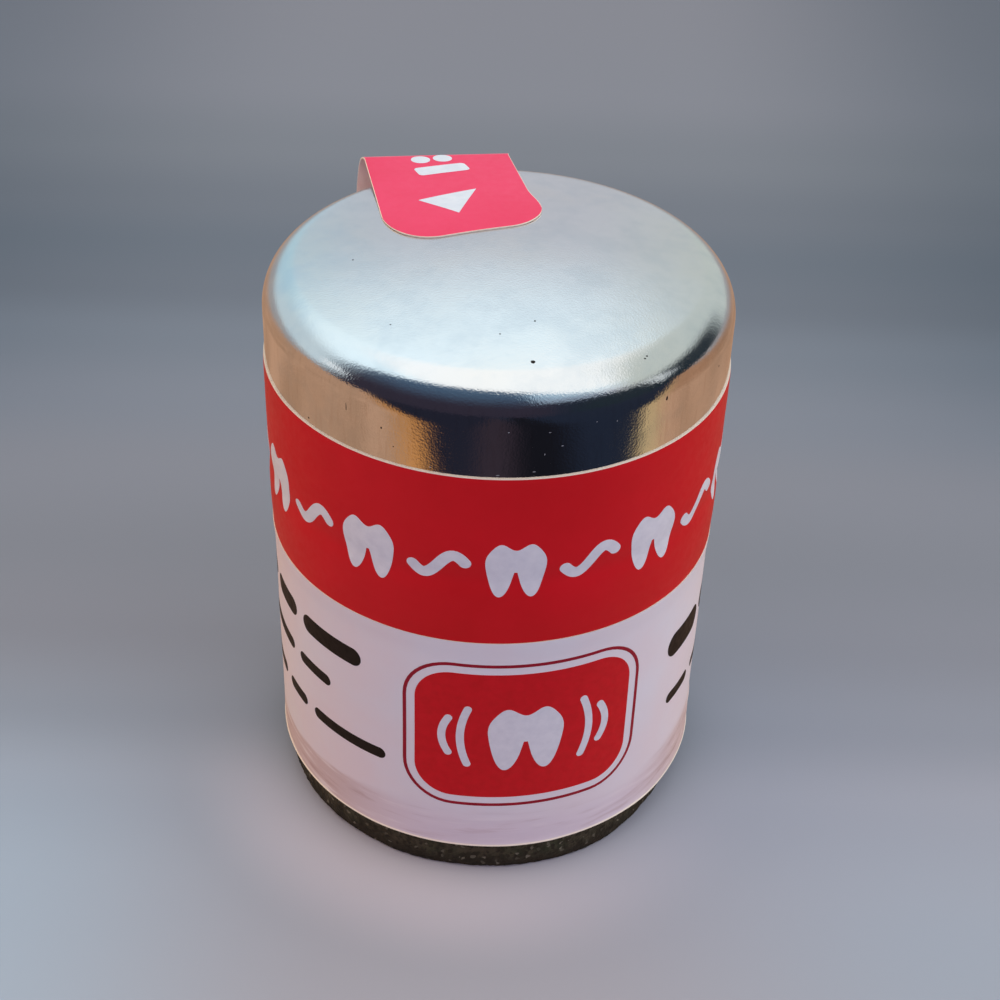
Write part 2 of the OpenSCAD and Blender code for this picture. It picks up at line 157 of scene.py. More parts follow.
def joined(parts):
    # several (points, faces) solids as one
    points, faceSets, start = [], [], 0
    for partPoints, partFaces in parts:
        points.append(partPoints)
        faceSets.extend(faces + start for faces in partFaces)
        start += len(partPoints)
    return np.concatenate(points), faceSets


def revolved(profile, segments, push=None):
    # profile of (radius, height) turned about Z; a point on the axis becomes one pole
    # push(u, v) moves a ring's points out along the radius, u round it and v along the profile
    profile = np.asarray(profile, float)
    this, last = np.arange(segments), len(profile) - 1
    following, share = (this + 1) % segments, this / segments
    onAxis = profile[:, 0] < 1e-7
    points, starts, quads, fans = [], [0], [], []
    for i, (radius, height) in enumerate(profile):
        out = radius + (push(share, i / last + 0 * share) if push else 0 * share)
        points.append([[0, 0, height]] if onAxis[i] else around(out, 2 * pi * share, height))
        starts.append(starts[-1] + len(points[-1]))
    if np.allclose(profile[0], profile[-1]):
        points.pop()
        starts[last] = 0
    for i in range(last):
        a, b = starts[i:i + 2]
        if onAxis[i] and not onAxis[i + 1]:
            fans.append(np.stack([a + 0 * this, b + following, b + this], -1))
        elif onAxis[i + 1] and not onAxis[i]:
            fans.append(np.stack([b + 0 * this, a + this, a + following], -1))
        elif not onAxis[i]:
            quads.append(np.stack([a + this, a + following, b + following, b + this], -1))
    return np.concatenate(points), [np.concatenate(faces) for faces in (quads, fans) if faces]


def around(r, angle, z):
    # point at a radius, an angle from the front towards +X, and a height
    return np.stack([r * np.sin(angle), -r * np.cos(angle), z + 0 * r], -1)


def arc(centre, radius, start, end, count):
    # points of an arc in a profile, angles in degrees from the outward direction
    angle = np.radians(np.linspace(start, end, count))
    return np.stack([centre[0] + radius * np.cos(angle), centre[1] + radius * np.sin(angle)], -1)


# Materials
def srgb(red, green, blue):
    # a colour as 0 to 255 display values, made linear for the shader
    shares = [value / 255 for value in (red, green, blue)]
    return (*[s / 12.92 if s < 0.04045 else ((s + 0.055) / 1.055) ** 2.4 for s in shares], 1)


class Graph:
    # short ways to add nodes to one tree
    def __init__(self, tree):
        self.tree = tree

    def add(self, kind, inputs=None, **settings):
        node = self.tree.nodes.new("ShaderNode" + kind)
        for key, value in settings.items():
            setattr(node, key, value)
        for key, value in (inputs or {}).items():
            self.feed(node.inputs[key], value)
        return node

    def feed(self, socket, value):
        if isinstance(value, bpy.types.NodeSocket):
            self.tree.links.new(value, socket)
        else:
            socket.default_value = value

    def span(self, value, fromLow, fromHigh, toLow, toHigh, smooth=False):
        # sockets 0 to 4 are the value, the range it comes from and the range it goes to
        inputs = dict(enumerate((value, fromLow, fromHigh, toLow, toHigh)))
        kind = "SMOOTHSTEP" if smooth else "LINEAR"
        return self.add("MapRange", inputs, interpolation_type=kind).outputs["Result"]

    def step(self, value, start, end):
        # a soft change from 0 at start to 1 at end
        return self.span(value, start, end, 0.0, 1.0, True)

    def math(self, operation, first, second):
        return self.add("Math", {0: first, 1: second}, operation=operation).outputs[0]

    def product(self, first, *others):
        for other in others:
            first = self.math("MULTIPLY", first, other)
        return first

    def mix(self, share, first, second):
        # sockets 6 and 7 are the node's two colours, and 2 is the colour that comes out
        return self.add("Mix", {0: share, 6: first, 7: second}, data_type="RGBA").outputs[2]

    def vector(self, operation, first, second, result="Vector"):
        return self.add("VectorMath", {0: first, 1: second}, operation=operation).outputs[result]

    def along(self, vector, direction, start, end):
        # soft change from 0 to 1 as a vector's reach along a direction goes from start to end
        return self.step(self.vector("DOT_PRODUCT", vector, direction, "Value"), start, end)

    def shaken(self, vector, cells, amount):
        # a vector moved about a little by noise, so that edges drawn with it come out uneven
        colour = self.add("TexNoise", {"Vector": vector, "Scale": cells, "Detail": 4.0}).outputs["Color"]
        centred = self.vector("SUBTRACT", colour, (0.5, 0.5, 0.5))
        small = self.add("VectorMath", {0: centred, "Scale": amount}, operation="SCALE").outputs[0]
        return self.vector("ADD", vector, small)


finishes = {}


class Finish(Graph):
    # a material whose nodes all read Object coordinates, kept by name in finishes
    def __init__(self, name, **sockets):
        finishes[name] = material = bpy.data.materials.new(name)
        material.use_nodes = True
        super().__init__(material.node_tree)
        self.shader = self.tree.nodes["Principled BSDF"]
        self.place = self.add("TexCoord").outputs["Object"]
        self.height = None
        for socket, value in sockets.items():
            self.shader.inputs[socket.replace("_", " ")].default_value = value

    def noise(self, size, detail, roughness=0.55, stretch=None):
        # noise whose lumps are about size metres across
        place = self.place
        if stretch:
            place = self.add("Mapping", {"Vector": place, "Scale": stretch}).outputs["Vector"]
        inputs = {"Vector": place, "Scale": 1 / size, "Detail": detail, "Roughness": roughness}
        return self.add("TexNoise", inputs).outputs["Fac"]

    def clouds(self, size, detail, light, dark, low=0.35, high=0.7):
        # two colours in clouds about size metres across
        return self.mix(self.span(self.noise(size, detail), low, high, 0, 1), light, dark)

    def satin(self, size, detail, low, high):
        # a roughness that wanders from low to high
        self.rough(self.span(self.noise(size, detail), 0.3, 0.7, low, high))

    def attribute(self, name):
        return self.add("Attribute", None, attribute_name=name).outputs["Fac"]

    def heightAt(self):
        return self.add("SeparateXYZ", {"Vector": self.place}).outputs["Z"]

    def colour(self, value):
        self.feed(self.shader.inputs["Base Color"], value)

    def rough(self, value):
        self.feed(self.shader.inputs["Roughness"], value)

    def bump(self, height, depth, strength=1.0):
        # adds one layer of relief, depth metres high
        inputs = {"Height": height, "Distance": depth, "Strength": strength}
        if self.height is not None:
            inputs["Normal"] = self.height
        self.height = self.add("Bump", inputs).outputs["Normal"]
        self.tree.links.new(self.height, self.shader.inputs["Normal"])


nickelLook = {
    "bright": (0.87, 0.88, 0.885, 1), "dull": (0.775, 0.805, 0.825, 1), "warm": (0.87, 0.86, 0.835, 1),
    "mark": (0.74, 0.72, 0.70, 1), "cloud": 3.4 * mm, "smudge": 0.7 * mm,
    "grain": 0.12 * mm, "grainDeep": 0.0078 * mm, "crownRough": 0.17, "sideRough": 0.095,
}


def nickelPlate():
    look, top = nickelLook, capSpan["high"]
    finish = Finish("nickelPlate", Metallic=1.0)
    mix, span, step, noise = finish.mix, finish.span, finish.step, finish.noise
    high, cloud = finish.heightAt(), noise(look["cloud"], 5, 0.62)
    onSide = step(high, top - 1.6 * mm, top - 3.2 * mm)
    tint = mix(step(noise(9 * mm, 2), 0.4, 0.68), look["bright"], look["warm"])
    clouded = mix(step(cloud, 0.42, 0.70), tint, look["dull"])
    smudged = mix(span(noise(look["smudge"], 4, 0.6), 0.5, 0.75, 0, 0.45), clouded, look["dull"])
    # marks of the drawing die run down the side
    drawn = noise(0.30 * mm, 4, 0.62, (1, 1, 0.14))
    marks = finish.product(onSide, span(drawn, 0.52, 0.76, 0, 0.7))
    finish.colour(mix(marks, smudged, look["mark"]))
    shoulder = span(high, top - 2.4 * mm, top - 1.1 * mm, look["sideRough"], look["crownRough"], True)
    finish.rough(finish.math("ADD", shoulder, span(cloud, 0.35, 0.7, -0.02, 0.04)))
    finish.bump(noise(look["grain"], 2, 0.5), look["grainDeep"])
    finish.bump(finish.product(onSide, drawn), 0.004 * mm, 0.8)
    finish.bump(noise(2.2 * mm, 2), 0.013 * mm, 0.7)


# coatings: clouds in the colour, wander in the roughness, and layers of relief, each as size and detail first
coatings = {
    "paper": {"clouds": (5 * mm, 4), "satin": (0.5 * mm, 3, 0.05, 0.07),
              "relief": [(0.14 * mm, 3, 0.0022 * mm), (3.5 * mm, 2, 0.02 * mm)]},
    "ink": {"clouds": (0.6 * mm, 3), "satin": (0.4 * mm, 2, 0.05, 0.08), "relief": [(0.14 * mm, 3, 0.002 * mm)]},
    "plastic": {"clouds": (4 * mm, 3), "satin": (0.7 * mm, 3, 0.06, 0.08), "relief": [(0.09 * mm, 2, 0.003 * mm)]},
}


def coated(name, kind, light, dark, rough, sockets):
    # printed satin paper, a film of ink, or moulded plastic
    look, finish = coatings[kind], Finish(name, **sockets)
    finish.colour(finish.clouds(*look["clouds"], srgb(*light), srgb(*dark)))
    size, detail, less, more = look["satin"]
    finish.satin(size, detail, rough - less, rough + more)
    for size, detail, depth in look["relief"]:
        finish.bump(finish.noise(size, detail), depth, 0.5)


labelLook = {
    "white": srgb(228, 222, 234), "pinkish": srgb(230, 216, 226),
    # marginPinkShade: the margin's mauve, partly its own tint and partly painted shade
    "margin": srgb(226, 214, 230), "marginPinkShade": srgb(206, 182, 184),
    # crease and ridge: painted shade and painted highlight for the margin's wrinkles
    "crease": srgb(158, 118, 122), "ridge": srgb(244, 234, 240),
}


def labelPaper():
    # the white field, whose unprinted foot margin lets a little mauve through, deepened by painted shade towards
    # the left and right sides
    look, finish = labelLook, Finish("labelPaper", IOR=1.47)
    mix, step, pink = finish.mix, finish.step, finish.attribute("pinkAndShade")
    field = finish.clouds(7 * mm, 3, look["white"], look["pinkish"], 0.38, 0.68)
    foot = mix(pink, look["margin"], look["marginPinkShade"])
    # dark and pale streaks run round the margin, most of them where it is pinkest: painted shade for its creases
    # and painted highlight for its ridges
    streak, wrinkleShading = finish.noise(4.2 * mm, 3, 0.5, (1, 1, 9)), finish.span(pink, 0.1, 0.9, 0.25, 0.6)
    foot = mix(finish.product(step(streak, 0.52, 0.74), wrinkleShading), foot, look["crease"])
    foot = mix(finish.product(step(streak, 0.46, 0.28), wrinkleShading), foot, look["ridge"])
    finish.colour(mix(finish.attribute("margin"), field, foot))
    finish.satin(0.5 * mm, 3, 0.33, 0.45)
    finish.bump(finish.noise(0.14 * mm, 3), 0.0022 * mm, 0.5)
    finish.bump(finish.noise(4 * mm, 2), 0.02 * mm, 0.5)


def plainPaper(name, light, dark):
    # cut edge or back of the paper: matt and fibrous
    finish = Finish(name, Roughness=0.8, IOR=1.4)
    finish.colour(finish.mix(finish.noise(0.25 * mm, 4), srgb(*light), srgb(*dark)))
    finish.bump(finish.noise(0.1 * mm, 3), 0.004 * mm, 0.6)


def gritFoot():
    # dark olive brown, granular and dry, with a few paler grains, and painted shade that darkens it towards the
    # floor
    finish = Finish("gritFoot", IOR=1.45)
    mix, span, step, noise = finish.mix, finish.span, finish.step, finish.noise
    grains = finish.add("TexVoronoi", {"Vector": finish.place, "Scale": 1 / (0.22 * mm)})
    share = finish.add("SeparateColor", {"Color": grains.outputs["Color"]}).outputs[0]
    dark = mix(step(noise(0.6 * mm, 4), 0.35, 0.65), srgb(40, 38, 27), srgb(70, 64, 49))
    dark = mix(span(noise(2.5 * mm, 3), 0.45, 0.7, 0, 0.5), dark, srgb(58, 66, 44))
    # painted shade: darker towards the floor
    dark = mix(step(finish.heightAt(), 1.5 * mm, 0.1 * mm), dark, srgb(34, 31, 26))
    dark = mix(span(share, 0.30, 0.12, 0, 0.7), dark, srgb(24, 22, 18))
    finish.colour(mix(span(share, 0.92, 1.0, 0, 0.85), dark, srgb(118, 112, 98)))
    finish.rough(span(share, 0, 1, 0.75, 0.95))
    finish.bump(grains.outputs["Distance"], 0.05 * mm, 0.8)
    finish.bump(noise(0.12 * mm, 3), 0.03 * mm, 0.7)


def workedSteel(name, rough, stretch=None):
    # bright steel, brushed along one way where a stretch is given
    finish = Finish(name, Metallic=1.0)
    lines = finish.noise(0.12 * mm, 4, 0.6, stretch)
    finish.colour(finish.mix(finish.span(lines, 0.35, 0.7, 0, 1), (0.74, 0.75, 0.76, 1), (0.60, 0.61, 0.63, 1)))
    finish.rough(finish.span(lines, 0.3, 0.7, rough - 0.07, rough + 0.1))
    finish.bump(lines, 0.003 * mm, 0.5)


def flossThread():
    # unwaxed thread: off-white filaments along the winding, with painted shade in the hollows between the ridges,
    # read from the piece's own map
    finish = Finish("flossThread", Roughness=0.85, Sheen_Weight=0.3, Sheen_Roughness=0.4)
    strands = finish.noise(0.12 * mm, 4, 0.65)
    hollowShade = finish.attribute("hollowShade")
    pale = finish.mix(strands, srgb(244, 240, 228), srgb(226, 219, 203))
    finish.colour(finish.mix(hollowShade, pale, srgb(176, 166, 148)))
    finish.bump(strands, 0.02 * mm, 0.7)


def pressedBoard():
    finish = Finish("pressedBoard", Roughness=0.9)
    flecks = finish.noise(0.35 * mm, 5, 0.7)
    finish.colour(finish.mix(finish.span(flecks, 0.35, 0.7, 0, 1), srgb(214, 200, 174), srgb(170, 154, 128)))
    finish.bump(flecks, 0.02 * mm, 0.7)


inked = {"IOR": 1.47, "Specular_IOR_Level": 0.5}
matt = {"IOR": 1.47, "Specular_IOR_Level": 0.25}
moulded = {"IOR": 1.5, "Subsurface_Weight": 0.15, "Subsurface_Scale": 0.6 * mm}
nickelPlate()
coated("redPaper", "paper", (212, 6, 26), (203, 4, 20), 0.46, matt)
# the tab: the band's red paper drawn lighter and pinker, painted sky light and sheen on its upward face
coated("tabPaperSkyLit", "paper", (231, 59, 109), (226, 51, 99), 0.38, matt)
labelPaper()
plainPaper("paperEdge", (248, 238, 226), (240, 226, 212))
plainPaper("wornFold", (248, 176, 190), (240, 150, 170))
# the paper's back: pale paper whose pink tint is painted red light, bounced off and shining through the red print
plainPaper("paperBackRedBounce", (252, 222, 214), (248, 206, 200))
coated("whiteInk", "ink", (226, 224, 236), (216, 214, 228), 0.4, inked)
# the tab's white print drawn bluer than whiteInk: painted sky light on the tab's upward face
coated("tabInk", "ink", (216, 232, 252), (207, 225, 247), 0.4, inked)
coated("redInk", "ink", (208, 8, 28), (198, 5, 22), 0.46, matt)
coated("crimsonInk", "ink", (158, 10, 42), (144, 8, 38), 0.46, matt)
coated("blackInk", "ink", (24, 20, 25), (14, 12, 16), 0.55, {"IOR": 1.47, "Specular_IOR_Level": 0.3})
gritFoot()
coated("vialPlastic", "plastic", (240, 238, 232), (232, 230, 223), 0.42, moulded)
coated("whitePlastic", "plastic", (240, 240, 236), (230, 229, 224), 0.38, moulded)
coated("bobbinPlastic", "plastic", (226, 216, 190), (214, 202, 174), 0.42, {**moulded, "Subsurface_Weight": 0.1})
workedSteel("brightSteel", 0.22)
workedSteel("cutterSteel", 0.28, (1, 0.08, 1))
flossThread()
pressedBoard()
coated("fleckDark", "ink", (20, 18, 18), (44, 36, 30), 0.7, inked)
coated("fleckPale", "ink", (150, 154, 164), (108, 110, 120), 0.6, inked)
print("materials made:", len(finishes))


# Cap: the drawn shell as one closed profile, turned about Z
capLook = {
    "shoulderR": 2.5 * mm, "crownR": 70 * mm, "wall": 0.35 * mm, "hemH": 1.2 * mm, "hemSlit": 0.1 * mm,
    "groove": 0.11 * mm, "grooveUp": 2.1 * mm, "grooveWide": 0.8 * mm,
    "segments": 288, "sideRows": 42, "shoulderRows": 28, "crownRows": 34, "curlRows": (18, 8),
    # dark flecks: (x, y) from the cap's centre on the crown, or (degrees from the front, height) on the side,
    # then half width and half height, all in mm
    "crownFlecks": [(1.93, -11.24, 0.13, 0.13), (0.12, -9.04, 0.05, 0.05), (2.01, -7.75, 0.06, 0.06),
                    (-8.52, -1.39, 0.06, 0.05), (8.11, -9.85, 0.06, 0.05), (-5.9, -8.2, 0.05, 0.04)],
    "sideFlecks": [(-26.0, 33.6, 0.05, 0.07), (-48.3, 31.9, 0.06, 0.06), (-23.0, 32.6, 0.04, 0.04),
                   (-35.5, 34.1, 0.025, 0.26), (42.0, 34.7, 0.07, 0.14), (64.4, 34.2, 0.04, 0.07)],
    "sideScuffs": [(3.1, 34.5, 0.05, 0.03), (15.2, 33.45, 0.07, 0.03), (12.2, 34.4, 0.07, 0.025),
                   (9.1, 31.9, 0.09, 0.035), (28.1, 34.4, 0.025, 0.05), (23.0, 34.65, 0.03, 0.03),
                   (1.0, 31.7, 0.10, 0.03), (11.3, 33.0, 0.025, 0.06), (-14.2, 31.8, 0.06, 0.025)],
}
crownLow = capSpan["high"] - capLook["crownR"]
capR = capSpan["r"]


def capOutline(inset):
    # side, tangent shoulder and crown, from the side to the axis
    look = capLook
    centreX = capR - look["shoulderR"]
    centreZ = crownLow + sqrt((look["crownR"] - look["shoulderR"]) ** 2 - centreX ** 2)
    meet = degrees(atan2(centreZ - crownLow, centreX))
    shoulder = arc((centreX, centreZ), look["shoulderR"] - inset, 0, meet, look["shoulderRows"])
    crown = arc((0, crownLow), look["crownR"] - inset, meet, 90, look["crownRows"])[1:]
    crown[-1, 0] = 0
    return np.concatenate([shoulder, crown])


def capGroove(z):
    # the drawn wall goes in by this much in one shallow ring under the label: a bell curve over height
    look = capLook
    return look["groove"] * np.exp(-((z - capSpan["low"] - look["grooveUp"]) / look["grooveWide"]) ** 2)


def makeCap():
    look = capLook
    rim, wall, slit = capSpan["low"], look["wall"], look["hemSlit"]
    curlX, curlZ = capR - wall - slit / 2, rim + wall + slit / 2
    outer, inner = capOutline(0), capOutline(wall)
    sideZ = np.linspace(curlZ, outer[0, 1], look["sideRows"])[1:-1]
    side = np.stack([capR - capGroove(sideZ), sideZ], -1)
    insideZ = np.linspace(inner[0, 1], curlZ, look["sideRows"])[1:-1]
    insideSide = np.stack([capR - wall - capGroove(insideZ), insideZ], -1)
    hemInner, hemOuter = capR - 2 * wall - slit, capR - wall - slit
    profile = np.concatenate([
        [[hemInner, rim + look["hemH"]]],
        arc((curlX, curlZ), wall + slit / 2, 180, 360, look["curlRows"][0]),
        side, outer, inner[::-1], insideSide,
        arc((curlX, curlZ), slit / 2, 360, 180, look["curlRows"][1]),
        [[hemOuter, rim + look["hemH"]]],
        [[hemInner, rim + look["hemH"]]],
    ])
    piece = newPiece("cap_metal", *revolved(profile, look["segments"]), ["nickelPlate"], sharp=50)
    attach(piece, "cap")
    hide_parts("cap_shell")


fleckLook = {"points": 14, "edge": 0.003 * mm, "middle": 0.006 * mm, "sunk": 0.02 * mm}


def fleckSolid(middle, across, up, out, halfWide, halfHigh, number):
    # a flat blister: a ring just over the surface, one just under it, and a middle point for each
    look, count = fleckLook, fleckLook["points"]
    angle = np.linspace(0, 2 * pi, count, endpoint=False)
    share = 1 + 0.07 * np.sin(3 * angle + number) + 0.05 * np.cos(5 * angle)
    ring = np.outer(halfWide * share * np.cos(angle), across) + np.outer(halfHigh * share * np.sin(angle), up)
    top = middle + ring + look["edge"] * out
    poles = [middle + look["middle"] * out, middle - look["sunk"] * out]
    this, following = np.arange(count), (np.arange(count) + 1) % count
    fans = np.concatenate([np.stack([np.full(count, 2 * count), this, following], -1),
                           np.stack([np.full(count, 2 * count + 1), count + following, count + this], -1)])
    walls = np.stack([this, count + this, count + following, following], -1)
    return np.concatenate([top, top - look["sunk"] * out, poles]), [fans, walls]


def onCrown(x, y, *halves):
    middle = np.array([x * mm, y * mm, crownLow + sqrt(capLook["crownR"] ** 2 - (x * mm) ** 2 - (y * mm) ** 2)])
    out = (middle - [0, 0, crownLow]) / capLook["crownR"]
    across = np.cross([0, 1, 0], out)
    return middle, across, np.cross(out, across), out, *(half * mm for half in halves)


def onSide(turn, high, *halves):
    angle = radians(turn)
    out, across = around(1.0, angle, 0), np.array([cos(angle), sin(angle), 0])
    return capR * out + np.array([0, 0, high * mm]), across, np.array([0, 0, 1.0]), out, *(h * mm for h in halves)


def makeFlecks():
    look = capLook
    dark = [onCrown(*fleck) for fleck in look["crownFlecks"]] + [onSide(*fleck) for fleck in look["sideFlecks"]]
    pale = [onSide(*fleck) for fleck in look["sideScuffs"]]
    for name, places, finish in (("cap_flecks", dark, "fleckDark"), ("cap_scuffs", pale, "fleckPale")):
        parts = [fleckSolid(*place, number) for number, place in enumerate(places)]
        piece = newPiece(name, *joined(parts), [finish])
        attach(piece, "cap")


makeCap()
makeFlecks()
print("cap made")


# Label: one strip round the vial and the cap, cut through at the tear line
stripLook = {
    "paper": 0.09 * mm, "glue": 0.02 * mm, "vialGlue": 0.06 * mm, "seamAt": 150, "overlap": 2.4 * mm,
    "lap": 0.14 * mm, "columns": 420, "bandRows": 60, "bodyRows": 90, "tear": 0.025 * mm, "bareEdge": 0.045 * mm,
    "footEdge": 0.10 * mm, "atTear": 14.04 * mm, "pressed": 0.025 * mm, "lip": 0.06 * mm,
    "dents": 0.02 * mm, "waves": 0.035 * mm, "ripple": 0.034 * mm, "rippleRight": 0.05 * mm,
    "rippleLong": 1.3 * mm, "dentCells": (22, 7), "patchCells": (26, 9), "waveCells": (14, 5),
    # margin at the foot: the height of its top, and how far it rises in front and to the right
    "marginLow": 4.6 * mm, "marginFront": 0.9 * mm, "marginRight": 1.3 * mm,
}


def bandRadius(angle, z):
    # flat on the cap with its top edge pressed down, in over the ring groove, and drawn in below the rim
    look = stripLook
    low, high, rim = bandSpan["low"], bandSpan["high"], capSpan["low"]
    onCap = capR + look["glue"] + look["paper"]
    drawnIn = (onCap - look["atTear"]) * (1 - ease(z, low - 0.5 * mm, rim - 0.3 * mm))
    uneven = roughField(angle / (2 * pi) % 1, (z - low) / (high - low), look["dentCells"], 8)
    pressed = look["pressed"] * ease(z, high - 0.35 * mm, high)
    dents = look["dents"] * uneven * ease(z, high - 0.5 * mm, high - 3 * mm)
    return onCap - 0.95 * capGroove(z) - drawnIn - pressed - dents


def makeStrip(name, rows, radiusAt, finish, bareRows):
    # a strip from the seam, once round and over its own start, with some rows of its front left bare
    look = stripLook
    lapAngle = look["overlap"] / labelSpan["r"]
    angle = radians(look["seamAt"]) + np.linspace(0, 2 * pi + lapAngle, look["columns"])
    lapped = ease(angle, angle[-1] - 1.5 * lapAngle, angle[-1] - 1.0 * lapAngle)
    angles, heights = np.meshgrid(angle, rows)
    front = radiusAt(angles, heights) + lapped * (look["lap"] + 0.005 * mm)
    back = around(front - look["paper"], angles, heights)
    points, faceSets, sides = thinSheet(around(front, angles, heights), back)
    row = gridQuads(*angles.shape)[:, 0] // angles.shape[1]
    sides[0][np.isin(row, bareRows)] = 1
    # the back faces take paperBackRedBounce, whose pink tint is painted red bounce light
    piece = newPiece(name, points, faceSets, [finish, "paperEdge", "paperBackRedBounce"], sides, sharp=40)
    return piece, angles, heights


def makeBand():
    look = stripLook
    low, high = bandSpan["low"], bandSpan["high"]
    rows = [low - 0.1 * mm + look["tear"], *np.linspace(low, high - look["bareEdge"], look["bandRows"]), high]
    piece = makeStrip("band_paper", rows, bandRadius, "redPaper", [look["bandRows"]])[0]
    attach(piece, "cap")
    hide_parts("band_label")


def marginTop(angle):
    # height of the margin's upper edge at an angle from the front: a hump in front and a rise at the right
    look = stripLook
    hump = look["marginFront"] * np.exp(-((angle + 0.35) / 0.75) ** 2)
    return look["marginLow"] + hump + look["marginRight"] * ease(angle, 0.6, 1.15) * (1 - ease(angle, 1.6, 2.6))


def turned(angle):
    # the same angle between half a turn left and right of the front
    return (angle + pi) % (2 * pi) - pi


def labelRadius(angle, z):
    # shallow ripples over a lower edge that stands out a little, broad waves, and a top that meets the band
    look = stripLook
    low, high = labelSpan["low"], labelSpan["high"]
    flat = vialSpan["r"] + look["vialGlue"] + look["paper"]
    depth = marginTop(turned(angle)) - z
    ripple = 0.5 + 0.5 * np.sin(2 * pi * depth / look["rippleLong"] + 1.6 * np.sin(3 * angle) + 0.6)
    patch = ease(roughField(angle / (2 * pi) % 1, z / high, look["patchCells"], 4), 0.45, 0.8)
    broad = roughField(angle / (2 * pi) % 1, z / high, look["waveCells"], 6)
    ends = (look["atTear"] - flat) * ease(z, high - 1.5 * mm, high) + look["lip"] * ease(z, low + 0.14 * mm, low)
    turn = turned(angle)
    rippled = look["ripple"] * patch + look["rippleRight"] * ease(turn, 0.5, 0.95) * (1 - ease(turn, 1.5, 2.2))
    return flat + ends + look["waves"] * broad * ease(z, 0, 6 * mm) + rippled * ripple * ease(depth, 0, 0.6 * mm)


def makeBodyLabel():
    look = stripLook
    low, high = labelSpan["low"], labelSpan["high"]
    rows = [low, *np.linspace(low + look["footEdge"], high, look["bodyRows"])]
    piece, angles, heights = makeStrip("label_paper", rows, labelRadius, "labelPaper", [0])
    # the margin's edge is crisp at the left, fades out in front and is soft at the right
    turn = turned(angles)
    blur = 0.08 * mm + 1.3 * mm * ease(turn, -0.75, -0.1) * (1 - 0.6 * ease(turn, 0.3, 0.8))
    margin = ease(marginTop(turn) - heights, -blur, blur)
    # pinkness: the margin's mauve tint and painted shade, strongest at the left and right sides and weaker at the
    # back
    besides = np.maximum(ease(-turn, 0.25, 0.85), ease(turn, 0.6, 1.25))
    pinkAndShade = 0.15 + besides * (0.75 - 0.5 * ease(np.abs(turn), 1.7, 2.4)) + 0 * heights
    paint(piece, "margin", [margin, margin])
    paint(piece, "pinkAndShade", [pinkAndShade, pinkAndShade])
    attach(piece, "vial")
    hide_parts("body_label")


makeBand()
makeBodyLabel()
print("label made")


# Printing: flat shapes in millimetres, laid on a surface as thin films of ink
inkLook = {"film": 0.012 * mm, "sunk": 0.03 * mm}


def inkFilm(edgeA, edgeB, onto, closed=False, rows=4):
    # a strip between two edges, both arrays of (x, y); onto(x, y, lift) puts flat points on the surface
    share = np.linspace(0, 1, rows)[:, None, None]
    flat = edgeA * (1 - share) + edgeB * share
    front = onto(flat[..., 0], flat[..., 1], inkLook["film"])
    back = onto(flat[..., 0], flat[..., 1], -inkLook["sunk"])
    return thinSheet(front, back, closed)[:2]


def graphFilm(x, low, high, onto):
    # the area between two curves over x
    return inkFilm(np.stack([x, low], -1), np.stack([x, high], -1), onto, False, 18)


def strokeFilm(path, width, onto, corner=None, count=61):
    # a stroke along a path, with round ends, or with round corners where a smaller corner is given
    path = np.asarray(path, float)
    run = np.concatenate([[0], np.cumsum(np.linalg.norm(np.diff(path, axis=0), axis=1))])
    place = run[-1] / 2 + clustered(count, run[-1] / 2)
    path = np.stack([np.interp(place, run, path[:, 0]), np.interp(place, run, path[:, 1])], -1)
    along = np.gradient(path, axis=0)
    along /= np.linalg.norm(along, axis=1, keepdims=True)
    side = np.stack([-along[:, 1], along[:, 0]], -1)
    corner = corner or width / 2
    inside = np.clip(1 - np.minimum(place, run[-1] - place) / corner, 0, 1)
    half = width / 2 - corner * (1 - np.sqrt(np.clip(1 - inside ** 2, 0.001, 1)))
    return inkFilm(path - side * half[:, None], path + side * half[:, None], onto, False, 6)


def roundedOutline(width, height, corner, count=12, between=24):
    # rectangle with round corners, as one closed run of points that follows its straight sides too
    turn = [(1, -1, -90), (1, 1, 0), (-1, 1, 90), (-1, -1, 180)]
    corners = [arc((sx * (width / 2 - corner), sy * (height / 2 - corner)), corner, start, start + 90, count)
               for sx, sy, start in turn]
    sides = [np.linspace(here[-1], corners[(i + 1) % 4][0], between)[1:-1] for i, here in enumerate(corners)]
    return np.concatenate([part for pair in zip(corners, sides) for part in pair])


def clustered(count, half):
    # places from -half to half that crowd together towards both ends
    return half * np.sin(np.linspace(-pi / 2, pi / 2, count))


def toothShape(width):
    # a molar as two curves over x: two cusps above, two broad roots with an arch between them below
    share = clustered(61, 0.5)
    near = np.abs(share)
    high = 0.1 + (0.27 + 0.06 * (1 + np.cos(2 * pi * (near - 0.25) / 0.5))) * (1 - (2 * near) ** 6) ** 0.5
    root = np.clip(np.cos(pi * (near - 0.27) / 0.46), 0, 1) ** 0.6
    low = 0.1 - (0.18 + 0.5 * root) * np.clip(1 - (2 * near) ** 8, 0, 1) ** 0.5
    return share * width, (low - 0.005) * width, (high + 0.005) * width


def onSheet(radiusAt, radius, x0=0.0, y0=0.0, over=0.0):
    # flat points laid round a paper sheet; x and y in mm from a start point, over is a height above the paper
    def onto(x, y, lift):
        angle, z = (x + x0) * mm / radius, (y + y0) * mm
        return around(radiusAt(angle, z) + lift + over, angle, z)
    return onto


bandPrint = {"teeth": 10, "width": 3.5, "middle": 25.3, "turn": 6, "wave": 0.75, "waveReach": 1.75,
             "stroke": 0.72}


